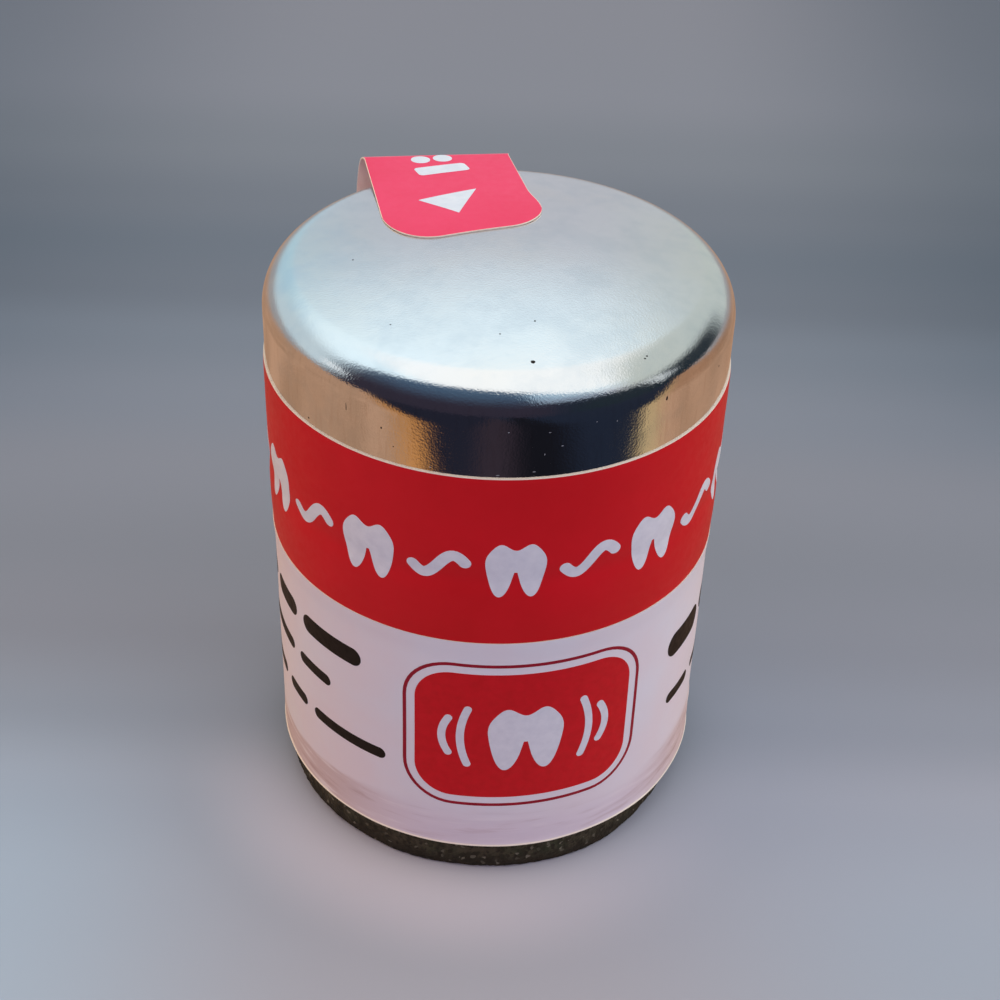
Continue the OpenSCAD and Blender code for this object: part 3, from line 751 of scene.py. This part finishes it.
def makeBandPrint():
    # small teeth with a wave of thread between each two, all the way round
    look = bandPrint
    radius = capR + stripLook["glue"] + stripLook["paper"]
    onto = onSheet(bandRadius, radius)
    pitch = 2 * pi * radius / mm / look["teeth"]
    x, low, high = toothShape(look["width"])
    parts = []
    for number in range(look["teeth"]):
        centre = (number + look["turn"] * look["teeth"] / 360) * pitch
        parts.append(graphFilm(centre + x, look["middle"] + low, look["middle"] + high, onto))
        run = np.linspace(-1, 1, 33)
        path = np.stack([centre + pitch / 2 + run * look["waveReach"],
                         look["middle"] + look["wave"] * np.sin(pi * run)], -1)
        parts.append(strokeFilm(path, look["stroke"], onto))
    piece = newPiece("band_print", *joined(parts), ["whiteInk"], sharp=40)
    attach(piece, "cap")


badgeLook = {"width": 13.8, "height": 10.2, "corner": 2.4, "middle": 12.1, "turn": 10.5,
             "line": 0.23, "lineOut": 0.55, "tooth": 4.7, "bow": 3.9, "bowStep": 1.15, "bowWide": 0.5}


def makeBadge():
    # a red panel with round corners, a thin line round it and a white tooth between two bows
    look = badgeLook
    wide, high, corner, radius = look["width"], look["height"], look["corner"], labelSpan["r"]
    place = radians(look["turn"]) * radius / mm, look["middle"]
    onto, ontoPanel = (onSheet(labelRadius, radius, *place, over) for over in (0.0, inkLook["film"]))
    x = clustered(61, wide / 2)
    edge = np.clip(np.abs(x) - (wide / 2 - corner), 0, None)
    half = high / 2 - corner + np.sqrt(np.clip(corner ** 2 - edge ** 2, 1e-4, None))
    red = newPiece("badge_print", *graphFilm(x, -half, half, onto), ["redInk"], sharp=40)
    grown = [2 * (look["lineOut"] + offset) for offset in (0, look["line"])]
    line = [roundedOutline(wide + grow, high + grow, corner + grow / 2) for grow in grown]
    keyline = newPiece("badge_line", *inkFilm(*line, onto, True), ["crimsonInk"], sharp=40)
    parts = [graphFilm(*toothShape(look["tooth"]), ontoPanel)]
    run = np.linspace(-1, 1, 33)
    for side in (-1, 1):
        for step in (0, look["bowStep"]):
            bowX = side * (look["bow"] + step + 0.55 * (1 - run ** 2) - 0.4)
            bow = np.stack([bowX, run * (2.5 - 0.75 * step)], -1)
            parts.append(strokeFilm(bow, look["bowWide"], ontoPanel))
    white = newPiece("badge_motif", *joined(parts), ["whiteInk"], sharp=40)
    for piece, slot in ((red, "label_red"), (keyline, "label_red"), (white, "label_white")):
        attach(piece, "vial")


# rows of plain bars beside the badge: angle of the near end, height, thickness, lengths in mm going away
barLook = {"gap": 0.9, "rows": [
    (-33, 16.0, 1.35, (5.4, 3.6, 4.4)), (-44, 12.6, 0.85, (3.4, 4.8, 2.6)),
    (-26, 9.0, 0.85, (6.2, 2.6, 4.6, 3.0)),
    (54, 14.6, 1.9, (4.6, 6.0)), (56, 10.0, 0.85, (3.2, 5.2, 4.0))]}


def makeBars():
    onto = onSheet(labelRadius, labelSpan["r"])
    parts = []
    for turn, height, thick, lengths in barLook["rows"]:
        x, way = radians(turn) * labelSpan["r"] / mm, np.sign(turn)
        for length in lengths:
            path = np.stack([np.linspace(x, x + way * length, 41), np.full(41, height)], -1)
            parts.append(strokeFilm(path, thick, onto))
            x += way * (length + barLook["gap"])
    piece = newPiece("bar_print", *joined(parts), ["blackInk"], sharp=40)
    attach(piece, "vial")


makeBandPrint()
makeBadge()
makeBars()
print("printing made")


# Tab: the label's tongue, up from the band, over a crease and forward onto the crown
tabLook = {
    "left": 4.77 * mm, "right": 4.98 * mm, "reach": 13.40 * mm, "slant": 0.157, "aside": 1.6 * mm,
    "flare": 0.85 * mm, "cornerLeft": (3.3 * mm, 4.3 * mm), "cornerRight": (2.4 * mm, 2.4 * mm), "waist": 0.062,
    "taper": (5.0 * mm, 7.8 * mm), "paper": 0.085 * mm, "lie": 0.012 * mm, "curl": 0.02 * mm,
    "raise": 0.21 * mm, "drop": 0.30 * mm, "bend": 1.0 * mm, "bare": 0.035 * mm, "wornLean": (24, 42),
    "columns": 61, "riserRows": 30, "bendRows": 14, "flapRows": 76,
    # printed marks: a pointer's three corners, a short bar and two dots, across the tab and out from the
    # cap's centre, in mm
    "pointer": [(-2.3, 6.95), (1.5, 8.15), (-0.15, 4.5)], "bar": [(-1.75, 11.55), (1.6, 12.25)], "barWide": 1.35,
    "dots": [(-1.2, 13.7, 0.62), (0.25, 13.85, 0.62)],
}
tabTurn = atan2(-creaseAxis.y, -creaseAxis.x)
creaseOut = -sin(tabTurn) * creaseMiddle.x + cos(tabTurn) * creaseMiddle.y
creaseHigh = creaseMiddle.z


def fromTab(across, out, z):
    # the tab's own frame: across it, out from the cap's centre, and up
    x, y = across - tabLook["aside"], out
    cosine, sine = cos(tabTurn), sin(tabTurn)
    return np.stack([x * cosine - y * sine, x * sine + y * cosine, z], -1)


def creaseTop(across):
    # the crease falls a little towards its right end
    look = tabLook
    return creaseHigh + look["raise"] - look["drop"] * (across + look["left"]) / (look["left"] + look["right"])


def flapHeight(across, out):
    # under the flap: a straight line from the crease that touches the crown's sphere, then the sphere itself
    look = tabLook
    high = creaseTop(across) - crownLow
    reach = np.sqrt((capLook["crownR"] + look["lie"]) ** 2 - (across - look["aside"]) ** 2)
    meet = np.arctan2(high, creaseOut) + np.arccos(np.clip(reach / np.hypot(creaseOut, high), -1, 1))
    meetOut, meetHigh = reach * np.cos(meet), reach * np.sin(meet)
    straight = meetHigh + (high - meetHigh) * (out - meetOut) / (creaseOut - meetOut)
    lying = np.sqrt(reach ** 2 - np.minimum(out, meetOut) ** 2)
    edge = look["curl"] * ease(np.abs(across), 0.55 * look["left"], look["left"])
    return crownLow + np.where(out > meetOut, straight, lying) + edge * ease(out, 8 * mm, 3 * mm)


def makeTab():
    look = tabLook
    left, right, bend = look["left"], look["right"], look["bend"]
    share = clustered(look["columns"], 1.0)[None, :]
    across = (share * (left + right) + right - left) / 2
    # the front edge of each column: a slanted line with a quarter of an ellipse at either end
    wide, long = (np.where(share < 0, look["cornerLeft"][i], look["cornerRight"][i]) for i in (0, 1))
    inside = np.clip((np.abs(across) - np.where(share < 0, left, right)) / wide + 1, 0, 1)
    tip = creaseOut - look["reach"] + look["slant"] * across + long * (1 - np.sqrt(1 - inside ** 2))
    # the right side comes in behind its front corner
    narrow = across * (1 - look["waist"] * (share > 0))
    # riser: up from the band, flared at its foot, leaning out until it stands upright under the crease
    bandR, foot, top = capR + stripLook["glue"], bandSpan["high"] - 0.01 * mm, creaseTop(narrow)
    stop = 1 - bend / (top - foot)
    steps = np.linspace(0, 1, look["riserRows"])[:, None] * stop
    riserAcross = narrow + look["flare"] * (1 - steps) ** 0.6 * share
    wallOut = np.sqrt(bandR ** 2 - (riserAcross[:1] - look["aside"]) ** 2)
    riserOut = wallOut + (creaseOut - wallOut) * (1 - (1 - steps) ** 2)
    riserHigh = foot + (top - foot) * steps
    # flap: from just past the crease to the tip, with one more row close to the edge
    steps = np.linspace(0, 1, look["flapRows"])
    steps = np.insert(steps, -1, 1 - look["bare"] / look["reach"])[:, None]
    flapOut = creaseOut - bend + (tip - creaseOut + bend) * steps
    flapAcross = across + (narrow - across) * ease(flapOut, *look["taper"])
    flapHigh = flapHeight(flapAcross, flapOut)
    t = np.linspace(0, 1, look["bendRows"] + 2)[1:-1, None]

    def bent(riser, corner, flap):
        # crease: a quadratic curve from the riser's last row to the flap's first, drawn towards the corner
        curve = (1 - t) ** 2 * riser[-1:] + 2 * t * (1 - t) * corner + t ** 2 * flap[:1]
        return np.concatenate([riser, curve, flap])

    outs, highs = bent(riserOut, creaseOut, flapOut), bent(riserHigh, top, flapHigh)
    acrosses = np.concatenate([riserAcross, riserAcross[-1:] * (1 - t) + narrow * t, flapAcross])
    alongOut, alongHigh = np.gradient(outs, axis=0), np.gradient(highs, axis=0)
    size = np.hypot(alongOut, alongHigh)
    normalOut, normalHigh = alongHigh / size, -alongOut / size
    back = fromTab(acrosses, outs, highs)
    face = fromTab(acrosses, outs + look["paper"] * normalOut, highs + look["paper"] * normalHigh)
    points, faceSets, sides = thinSheet(face, back)
    row, column = np.divmod(gridQuads(*outs.shape)[:, 0], outs.shape[1])
    # bare paper along the cut edges, and a thin line where the fold has rubbed the ink, between two leans
    lean = np.degrees(np.arctan2(normalOut, normalHigh))[:, outs.shape[1] // 2]
    worn = (lean > look["wornLean"][0]) & (lean < look["wornLean"][1])
    sides[0][worn[row]] = 3
    sides[0][(column < 2) | (column >= outs.shape[1] - 3) | (row == len(outs) - 2)] = 1
    # the printed face takes the lighter copy of the red paper, with painted sky light
    papers = ["tabPaperSkyLit", "paperEdge", "paperBackRedBounce", "wornFold"]
    piece = newPiece("tab_paper", points, faceSets, papers, sides, sharp=55)
    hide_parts("tab_riser", "pull_tab")
    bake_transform(piece)


def onTab(x, y, lift):
    # millimetres across and out, on the flap's printed face
    across, out = x * mm, y * mm
    return fromTab(across, out, flapHeight(across, out) + tabLook["paper"] + lift)


def makeTabPrint():
    look = tabLook
    tip, back, near = (np.array(point) for point in look["pointer"])
    steps = np.linspace(0.02, 1, 24)[:, None]
    parts = [inkFilm(tip + (near - tip) * steps, tip + (back - tip) * steps, onTab, False, 12),
             strokeFilm(np.linspace(look["bar"][0], look["bar"][1], 31), look["barWide"], onTab, 0.3)]
    for x, y, radius in look["dots"]:
        parts.append(strokeFilm([(x - radius, y), (x + radius, y)], 2 * radius, onTab))
    # its ink is the white print with painted blue sky light
    piece = newPiece("tab_print", *joined(parts), ["tabInk"], sharp=40)
    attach(piece, "tab")


makeTab()
makeTabPrint()
print("tab made")


# Foot: the dark rough plug that closes the vial
footLook = {"edgeR": 0.35 * mm, "grain": 0.12 * mm, "lump": 0.10 * mm, "worn": 0.32 * mm,
            "wornFrom": (0.08, 0.16), "wornTo": (0.30, 0.42), "grainCells": (260, 30), "lumpCells": (46, 12),
            "segments": 420, "plugR": 12.38 * mm, "plugWall": 1.2 * mm, "rows": 12, "underRows": 25}


def makeFoot():
    look = footLook
    radius, edgeR, rows, under = plugSpan["r"], look["edgeR"], look["rows"], look["underRows"]
    top, high, outer, inner = vialSpan["low"], plugSpan["high"], look["plugR"], look["plugR"] - look["plugWall"]
    edge = arc((radius - edgeR, edgeR), edgeR, -90, 0, rows)
    side = np.stack([np.full(rows, radius), np.linspace(edgeR, top, rows + 1)[1:]], -1)
    underside = np.stack([np.linspace(0, radius - edgeR, under + 1)[:-1], np.zeros(under)], -1)
    ledge = [[outer, top], [outer, high], [inner, high], [inner, top], [0, top]]
    profile = np.concatenate([underside, edge, side, ledge])
    last = len(profile) - 1
    firstRough, lastRough = under / last, (last - len(ledge)) / last

    def push(u, v):
        # grains, lumps and a worn stretch at the right, only ever inwards, on the outer side
        grains = roughField(u, v * 3 % 1, look["grainCells"], 11) * look["grain"]
        lumps = roughField(u, v, look["lumpCells"], 12) * look["lump"]
        share = ease(v, firstRough - 0.04, firstRough + 0.04) * (1 - ease(v, lastRough - 0.01, lastRough + 0.01))
        worn = look["worn"] * ease(u, *look["wornFrom"]) * (1 - ease(u, *look["wornTo"]))
        return -(grains + lumps + worn) * share

    piece = newPiece("foot_grit", *revolved(profile, look["segments"], push), ["gritFoot"], sharp=60)
    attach(piece, "vial")
    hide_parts("base_plug")


# Winding: crossed layers of thread between the bobbin's flanges
windingLook = {"turns": 26, "lead": 3, "thread": 0.05 * mm, "belly": 0.25 * mm, "columns": 420, "rows": 200}


def makeWinding():
    # two families of ridges that cross; the higher one shows at each place
    look = windingLook
    low, high = windingSpan["low"], windingSpan["high"]
    v = np.linspace(0, 1, look["rows"])
    belly = windingSpan["r"] - look["belly"] * (2 * v - 1) ** 2 - look["thread"]
    angle = np.arange(look["columns"]) / look["columns"] * 2 * pi
    angles, shares = np.meshgrid(angle, v)
    first = np.abs(np.sin(pi * look["turns"] * shares + look["lead"] * angles))
    second = np.abs(np.sin(pi * look["turns"] * shares - look["lead"] * angles + 0.8))
    ridge = np.maximum(np.sqrt(first), 0.92 * np.sqrt(second))
    outer = belly[:, None] + look["thread"] * (2 * ridge - 1)
    # one closed skin: a ring on the core, the wound side, a second ring on the core, and back to the first
    core = np.full((1, look["columns"]), coreSpan["r"] + 0.02 * mm)
    radii, levels = np.concatenate([core, outer, core]), np.pad(shares, ((1, 1), (0, 0)), "edge")
    points = around(radii, angle + 0 * radii, low + (high - low) * levels)
    faces = gridQuads(len(radii) + 1, look["columns"], True) % radii.size
    piece = newPiece("winding_thread", points, [faces], ["flossThread"], sharp=60)
    # painted shade for the hollows between the ridges of thread
    paint(piece, "hollowShade", np.pad(np.clip(1 - ridge, 0, 1), ((1, 1), (0, 0))))
    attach(piece, "bobbin")
    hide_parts("floss_winding")


makeFoot()
makeWinding()
print("foot and winding made")


# The CAD nodes that stay get their finishes
nodeFinishes = {
    "vial_tube": "vialPlastic", "spindle": "whitePlastic", "neck_insert": "whitePlastic",
    "floss_eyelet": "brightSteel", "cutter_plate": "cutterSteel", "cutter_rivets": "brightSteel",
    "bobbin_core": "bobbinPlastic", "bobbin_lower_flange": "bobbinPlastic",
    "bobbin_upper_flange": "bobbinPlastic", "cap_liner": "pressedBoard",
}
for node, finish in nodeFinishes.items():
    nodeObject = frame["nodes"][node]
    nodeObject.data.materials.clear()
    nodeObject.data.materials.append(finishes[finish])
print("nodes finished:", len(nodeFinishes))


# Studio: a plain floor and soft light all round; the bright metal sees a dark front between two tan sides
# light on all that isn't glossy, the lamp, the floor's tints, and its colours from the front to the back, each
# with its distance behind the object's middle in m
studio = {
    "fillFront": (0.46, 0.42, 0.62, 1), "fillLeft": (1.98, 1.30, 0.62, 1), "fillRight": (2.50, 2.42, 2.20, 1),
    "fillBack": (1.42, 1.42, 1.36, 1), "overhead": (0.35, 0.35, 0.35, 1), "fillStrength": 1.0,
    "lampWatts": 0.348, "lampWide": 0.34, "lampAt": (0.0, -0.08, 0.34), "floorHalf": 1.6,
    "background": (142, 146, 151), "tanRight": (0.82, 0.75, 0.70, 1),
    # near: a painted pool of light on the floor in front of the object
    "backLeft": (0.575, 0.64, 0.685, 1), "backRight": (0.53, 0.60, 0.645, 1), "near": (1.62, 1.47, 1.42, 1),
    "frontLeft": (1.02, 1.23, 1.31, 1), "frontRight": (0.93, 1.04, 1.08, 1),
    "floor": [(-0.030, (162, 168, 184)), (-0.016, (160, 167, 184)), (-0.007, (154, 162, 180)),
              (0.001, (137, 147, 165)), (0.010, (128, 137, 154)), (0.020, (123, 133, 150)),
              (0.030, (126, 136, 154)), (0.041, (121, 134, 154)), (0.052, (113, 128, 148)),
              (0.061, (103, 117, 136)), (0.070, (100, 115, 134)), (0.080, (107, 120, 138)),
              (0.094, (117, 129, 146)), (0.112, (126, 136, 154)), (0.140, (127, 136, 154))],
}
# what the bright metal sees, in the colours that it shows them; it keeps metalShare of each
mirrored = {
    "tan": (156, 122, 98), "tanLight": (178, 140, 114), "ochreLeft": (187, 128, 72), "ochreRight": (186, 161, 120),
    "darkLeft": (30, 31, 43), "brown": (48, 40, 48), "darkRight": (30, 36, 50), "darkest": (20, 20, 26),
    "horizon": (150, 147, 148), "skyBack": (179, 181, 189), "skyLeft": (168, 198, 212), "skySide": (184, 200, 208),
    "skyHigh": (224, 243, 252), "lampWhite": (245, 248, 249), "skyRight": (180, 188, 185), "navy": (68, 91, 115),
    "dusk": (44, 40, 52), "blueLow": (120, 130, 146), "blueHigh": (162, 190, 210), "slate": (28, 38, 46),
    "glint": (225, 232, 236),
}
metalShare = 0.87
for name, shown in mirrored.items():
    studio[name] = (*[share / metalShare for share in srgb(*shown)[:3]], 1)


def makeFloor():
    size = studio["floorHalf"]
    finish = Finish("floorPlain", Roughness=0.8)
    mix, step, along, product = finish.mix, finish.step, finish.along, finish.product
    place = finish.place
    split = finish.add("SeparateXYZ", {"Vector": place}).outputs
    x, y, stops = split["X"], split["Y"], studio["floor"]
    low, high = stops[0][0], stops[-1][0]
    ramp = finish.add("ValToRGB", {"Fac": finish.span(y, low, high, 0, 1)})
    ramp.color_ramp.interpolation = "EASE"
    elements = ramp.color_ramp.elements
    while len(elements) < len(stops):
        elements.new(0.5)
    for element, stop in zip(elements, stops):
        element.position = (stop[0] - low) / (high - low)
    for element, stop in zip(elements, stops):
        element.color = srgb(*stop[1])
    # the back darkens a little to both sides, the front corners are bluer, and a painted pool of light close in
    # front fills in the object's shadow
    tint = ramp.outputs["Color"]
    distance = finish.add("VectorMath", {0: place}, operation="LENGTH").outputs["Value"]
    for colour, *shares in (
            ("backLeft", step(x, -0.02, -0.075), step(y, 0.02, 0.05)),
            ("backRight", step(x, 0.02, 0.070), step(y, 0.02, 0.05)),
            ("frontLeft", step(x, -0.007, -0.032), step(y, 0.010, -0.016)),
            ("frontRight", step(x, 0.006, 0.030), step(y, 0.0, -0.022)),
            # near: painted light that brightens the floor around the object's front to cancel its shadow
            ("near", step(distance, 0.0225, 0.0145), step(y, 0.002, -0.013), step(x, 0.024, -0.004))):
        tint = finish.vector("MULTIPLY", tint, mix(product(*shares), (1, 1, 1, 1), studio[colour]))
    finish.colour(tint)
    # what the bright metal sees of the floor: dark in front, tan past a slanted line on either side
    near = finish.shaken(place, 90.0, 0.014)
    slant, ahead, right = (-0.517, 0.856, 0), (0.05, 1.0, 0), (1, 0, 0)
    tan = finish.math("MAXIMUM", along(near, slant, -0.0352, -0.0242), along(near, ahead, -0.0240, -0.0194))
    edge = product(along(near, slant, -0.012, -0.026), along(near, ahead, -0.006, -0.020))
    sides = mix(step(finish.noise(0.02, 4), 0.38, 0.64), studio["tan"], studio["tanLight"])
    sides = mix(edge, sides, mix(along(place, right, -0.01, 0.01), studio["ochreLeft"], studio["ochreRight"]))
    darker = mix(along(place, right, 0.05, 0.12), (1, 1, 1, 1), studio["tanRight"])
    sides = finish.vector("MULTIPLY", sides, darker)
    dark = mix(along(place, (-1, 0, 0), 0.002, 0.014), studio["brown"], studio["darkLeft"])
    dark = mix(along(place, right, 0.010, 0.022), dark, studio["darkRight"])
    middle = product(along(place, (1, 0.1, 0), -0.006, 0.012), along(place, (1, 0.2, 0), 0.034, 0.014))
    front = mix(tan, mix(middle, dark, studio["darkest"]), sides)
    seen = mix(step(y, 0.05, 0.25), front, studio["horizon"])
    glow = finish.add("Emission", {"Color": seen, "Strength": 1.0}).outputs[0]
    path = finish.add("LightPath")
    mixed = finish.add("MixShader", {0: path.outputs["Is Glossy Ray"], 1: finish.shader.outputs[0], 2: glow})
    output = next(n for n in finish.tree.nodes if n.type == "OUTPUT_MATERIAL")
    finish.tree.links.new(mixed.outputs[0], output.inputs["Surface"])
    corners = [[-size, -size, 0], [size, -size, 0], [size, size, 0], [-size, size, 0]]
    newPiece("floor", corners, [np.array([[0, 1, 2, 3]])], ["floorPlain"])


def makeWorld():
    world = bpy.data.worlds.new("studio")
    bpy.context.scene.world = world
    world.use_nodes = True
    graph, look = Graph(world.node_tree), studio
    mix, step, along, product = graph.mix, graph.step, graph.along, graph.product
    direction = graph.add("TexCoord").outputs["Generated"]
    rough = graph.shaken(direction, 14.0, 0.09)
    z = graph.add("SeparateXYZ", {"Vector": rough}).outputs["Z"]

    # sky: grey near the horizon, pale blue higher up, a white lamp overhead, greyer at the right
    sky = mix(along(rough, (-1, 0, 0), 0.08, 0.4), look["skyBack"], look["skyLeft"])
    sky = mix(along(rough, (-1, 0, 0), 0.45, 0.85), sky, look["skySide"])
    sky = mix(step(z, 0.42, 0.76), sky, look["skyHigh"])
    sky = mix(along(rough, (0.2, 0, 1), 0.73, 0.86), sky, look["lampWhite"])
    sky = mix(along(rough, (1, 0.479, 0.179), 0.60, 0.80), sky, look["skyRight"])
    sky = mix(product(step(z, 0.16, 0.0), along(rough, (-1, 0, 0), 0.2, 0.6)), sky, look["horizon"])

    # dark front: below a slanted plane and right of an upright one, navy above and brown below
    front = mix(step(z, 0.3, 0.95), look["dusk"], look["navy"])
    front = mix(product(step(z, 0.62, 0.40), along(rough, (0.94, 0.33, 0), 0.0, 0.25)), front, look["darkRight"])
    strip = product(along(rough, (0.9455, 0.3256, 0), -0.015, 0.03), along(rough, (0.12, 0, 1), 0.48, 0.56))
    front = mix(strip, front, mix(step(z, 0.42, 0.84), look["blueLow"], look["blueHigh"]))
    below = along(rough, (-0.35, -1, -0.52), -0.03, 0.05)
    seen = mix(product(below, along(rough, (0.2756, -0.9613, 0), -0.30, 0.10)), sky, front)

    # a low slate line at the right, and one small glint at either side
    line = product(along(rough, (1, 0, 0), 0.45, 0.72), step(z, 0.50, 0.30), along(rough, (0, 1, 0), 0.72, 0.45))
    seen = mix(line, seen, look["slate"])
    for toward in ((-0.943, -0.183, 0.276), (0.949, -0.150, 0.276)):
        seen = mix(product(along(rough, toward, 0.9955, 0.9985), 0.8), seen, look["glint"])

    # fill: even light, dimmer in front and overhead, warm at the left, plain from behind
    fill = mix(along(direction, (1, 0, 0), -0.9, 0.9), look["fillLeft"], look["fillRight"])
    fill = mix(along(direction, (0, -1, 0), -0.2, 0.95), fill, look["fillFront"])
    fill = mix(along(direction, (0, 1, 0), 0.3, 0.9), fill, look["fillBack"])
    dimmed = mix(along(direction, (0, 0, 1), 0.25, 0.9), (1, 1, 1, 1), look["overhead"])
    path = graph.add("LightPath").outputs
    background = mix(path["Is Camera Ray"], graph.vector("MULTIPLY", fill, dimmed), srgb(*look["background"]))
    surface = next(n for n in graph.tree.nodes if n.type == "BACKGROUND")
    graph.feed(surface.inputs["Color"], mix(path["Is Glossy Ray"], background, seen))
    # strength 1 for what is seen, and its own for the fill
    graph.feed(surface.inputs["Strength"], graph.span(path["Is Diffuse Ray"], 0, 1, 1.0, look["fillStrength"]))


def makeLamp():
    lamp = bpy.data.lights.new("softbox", "AREA")
    lamp.shape = "RECTANGLE"
    lamp.size = lamp.size_y = studio["lampWide"]
    lamp.energy = studio["lampWatts"]
    lampObject = placed("softbox", lamp)
    lampObject.location = studio["lampAt"]
    lampObject.visible_glossy = False


# Camera: fitted to the photograph, in metres and radians, for a square frame
cameraLook = {"lens": 63.17, "sensor": 36, "distance": 113.62 * mm, "tilt": 0.6379, "aimHigh": 19.1 * mm,
              "roll": 0.0338, "shiftX": 0.00803, "shiftY": 0.00841}


def makeCamera():
    look = cameraLook
    camera = bpy.data.cameras.new("camera")
    camera.lens, camera.sensor_width = look["lens"], look["sensor"]
    camera.shift_x, camera.shift_y = look["shiftX"], look["shiftY"]
    camera.clip_start, camera.clip_end = 0.005, 20
    cosine, sine = cos(look["tilt"]), sin(look["tilt"])
    back, levelUp = Vector((0, -cosine, sine)), Vector((0, sine, cosine))
    right = Vector((1, 0, 0)) * cos(look["roll"]) + levelUp * sin(look["roll"])
    axes = Matrix((right, back.cross(right), back)).transposed().to_4x4()
    place = back * look["distance"] + Vector((0, 0, look["aimHigh"]))
    cameraObject = placed("camera", camera)
    cameraObject.matrix_world = Matrix.Translation(place) @ axes
    bpy.context.scene.camera = cameraObject


makeFloor()
makeWorld()
makeLamp()
makeCamera()
bpy.context.scene.view_settings.view_transform = "Standard"
print("studio set")

bpy.context.view_layer.update()
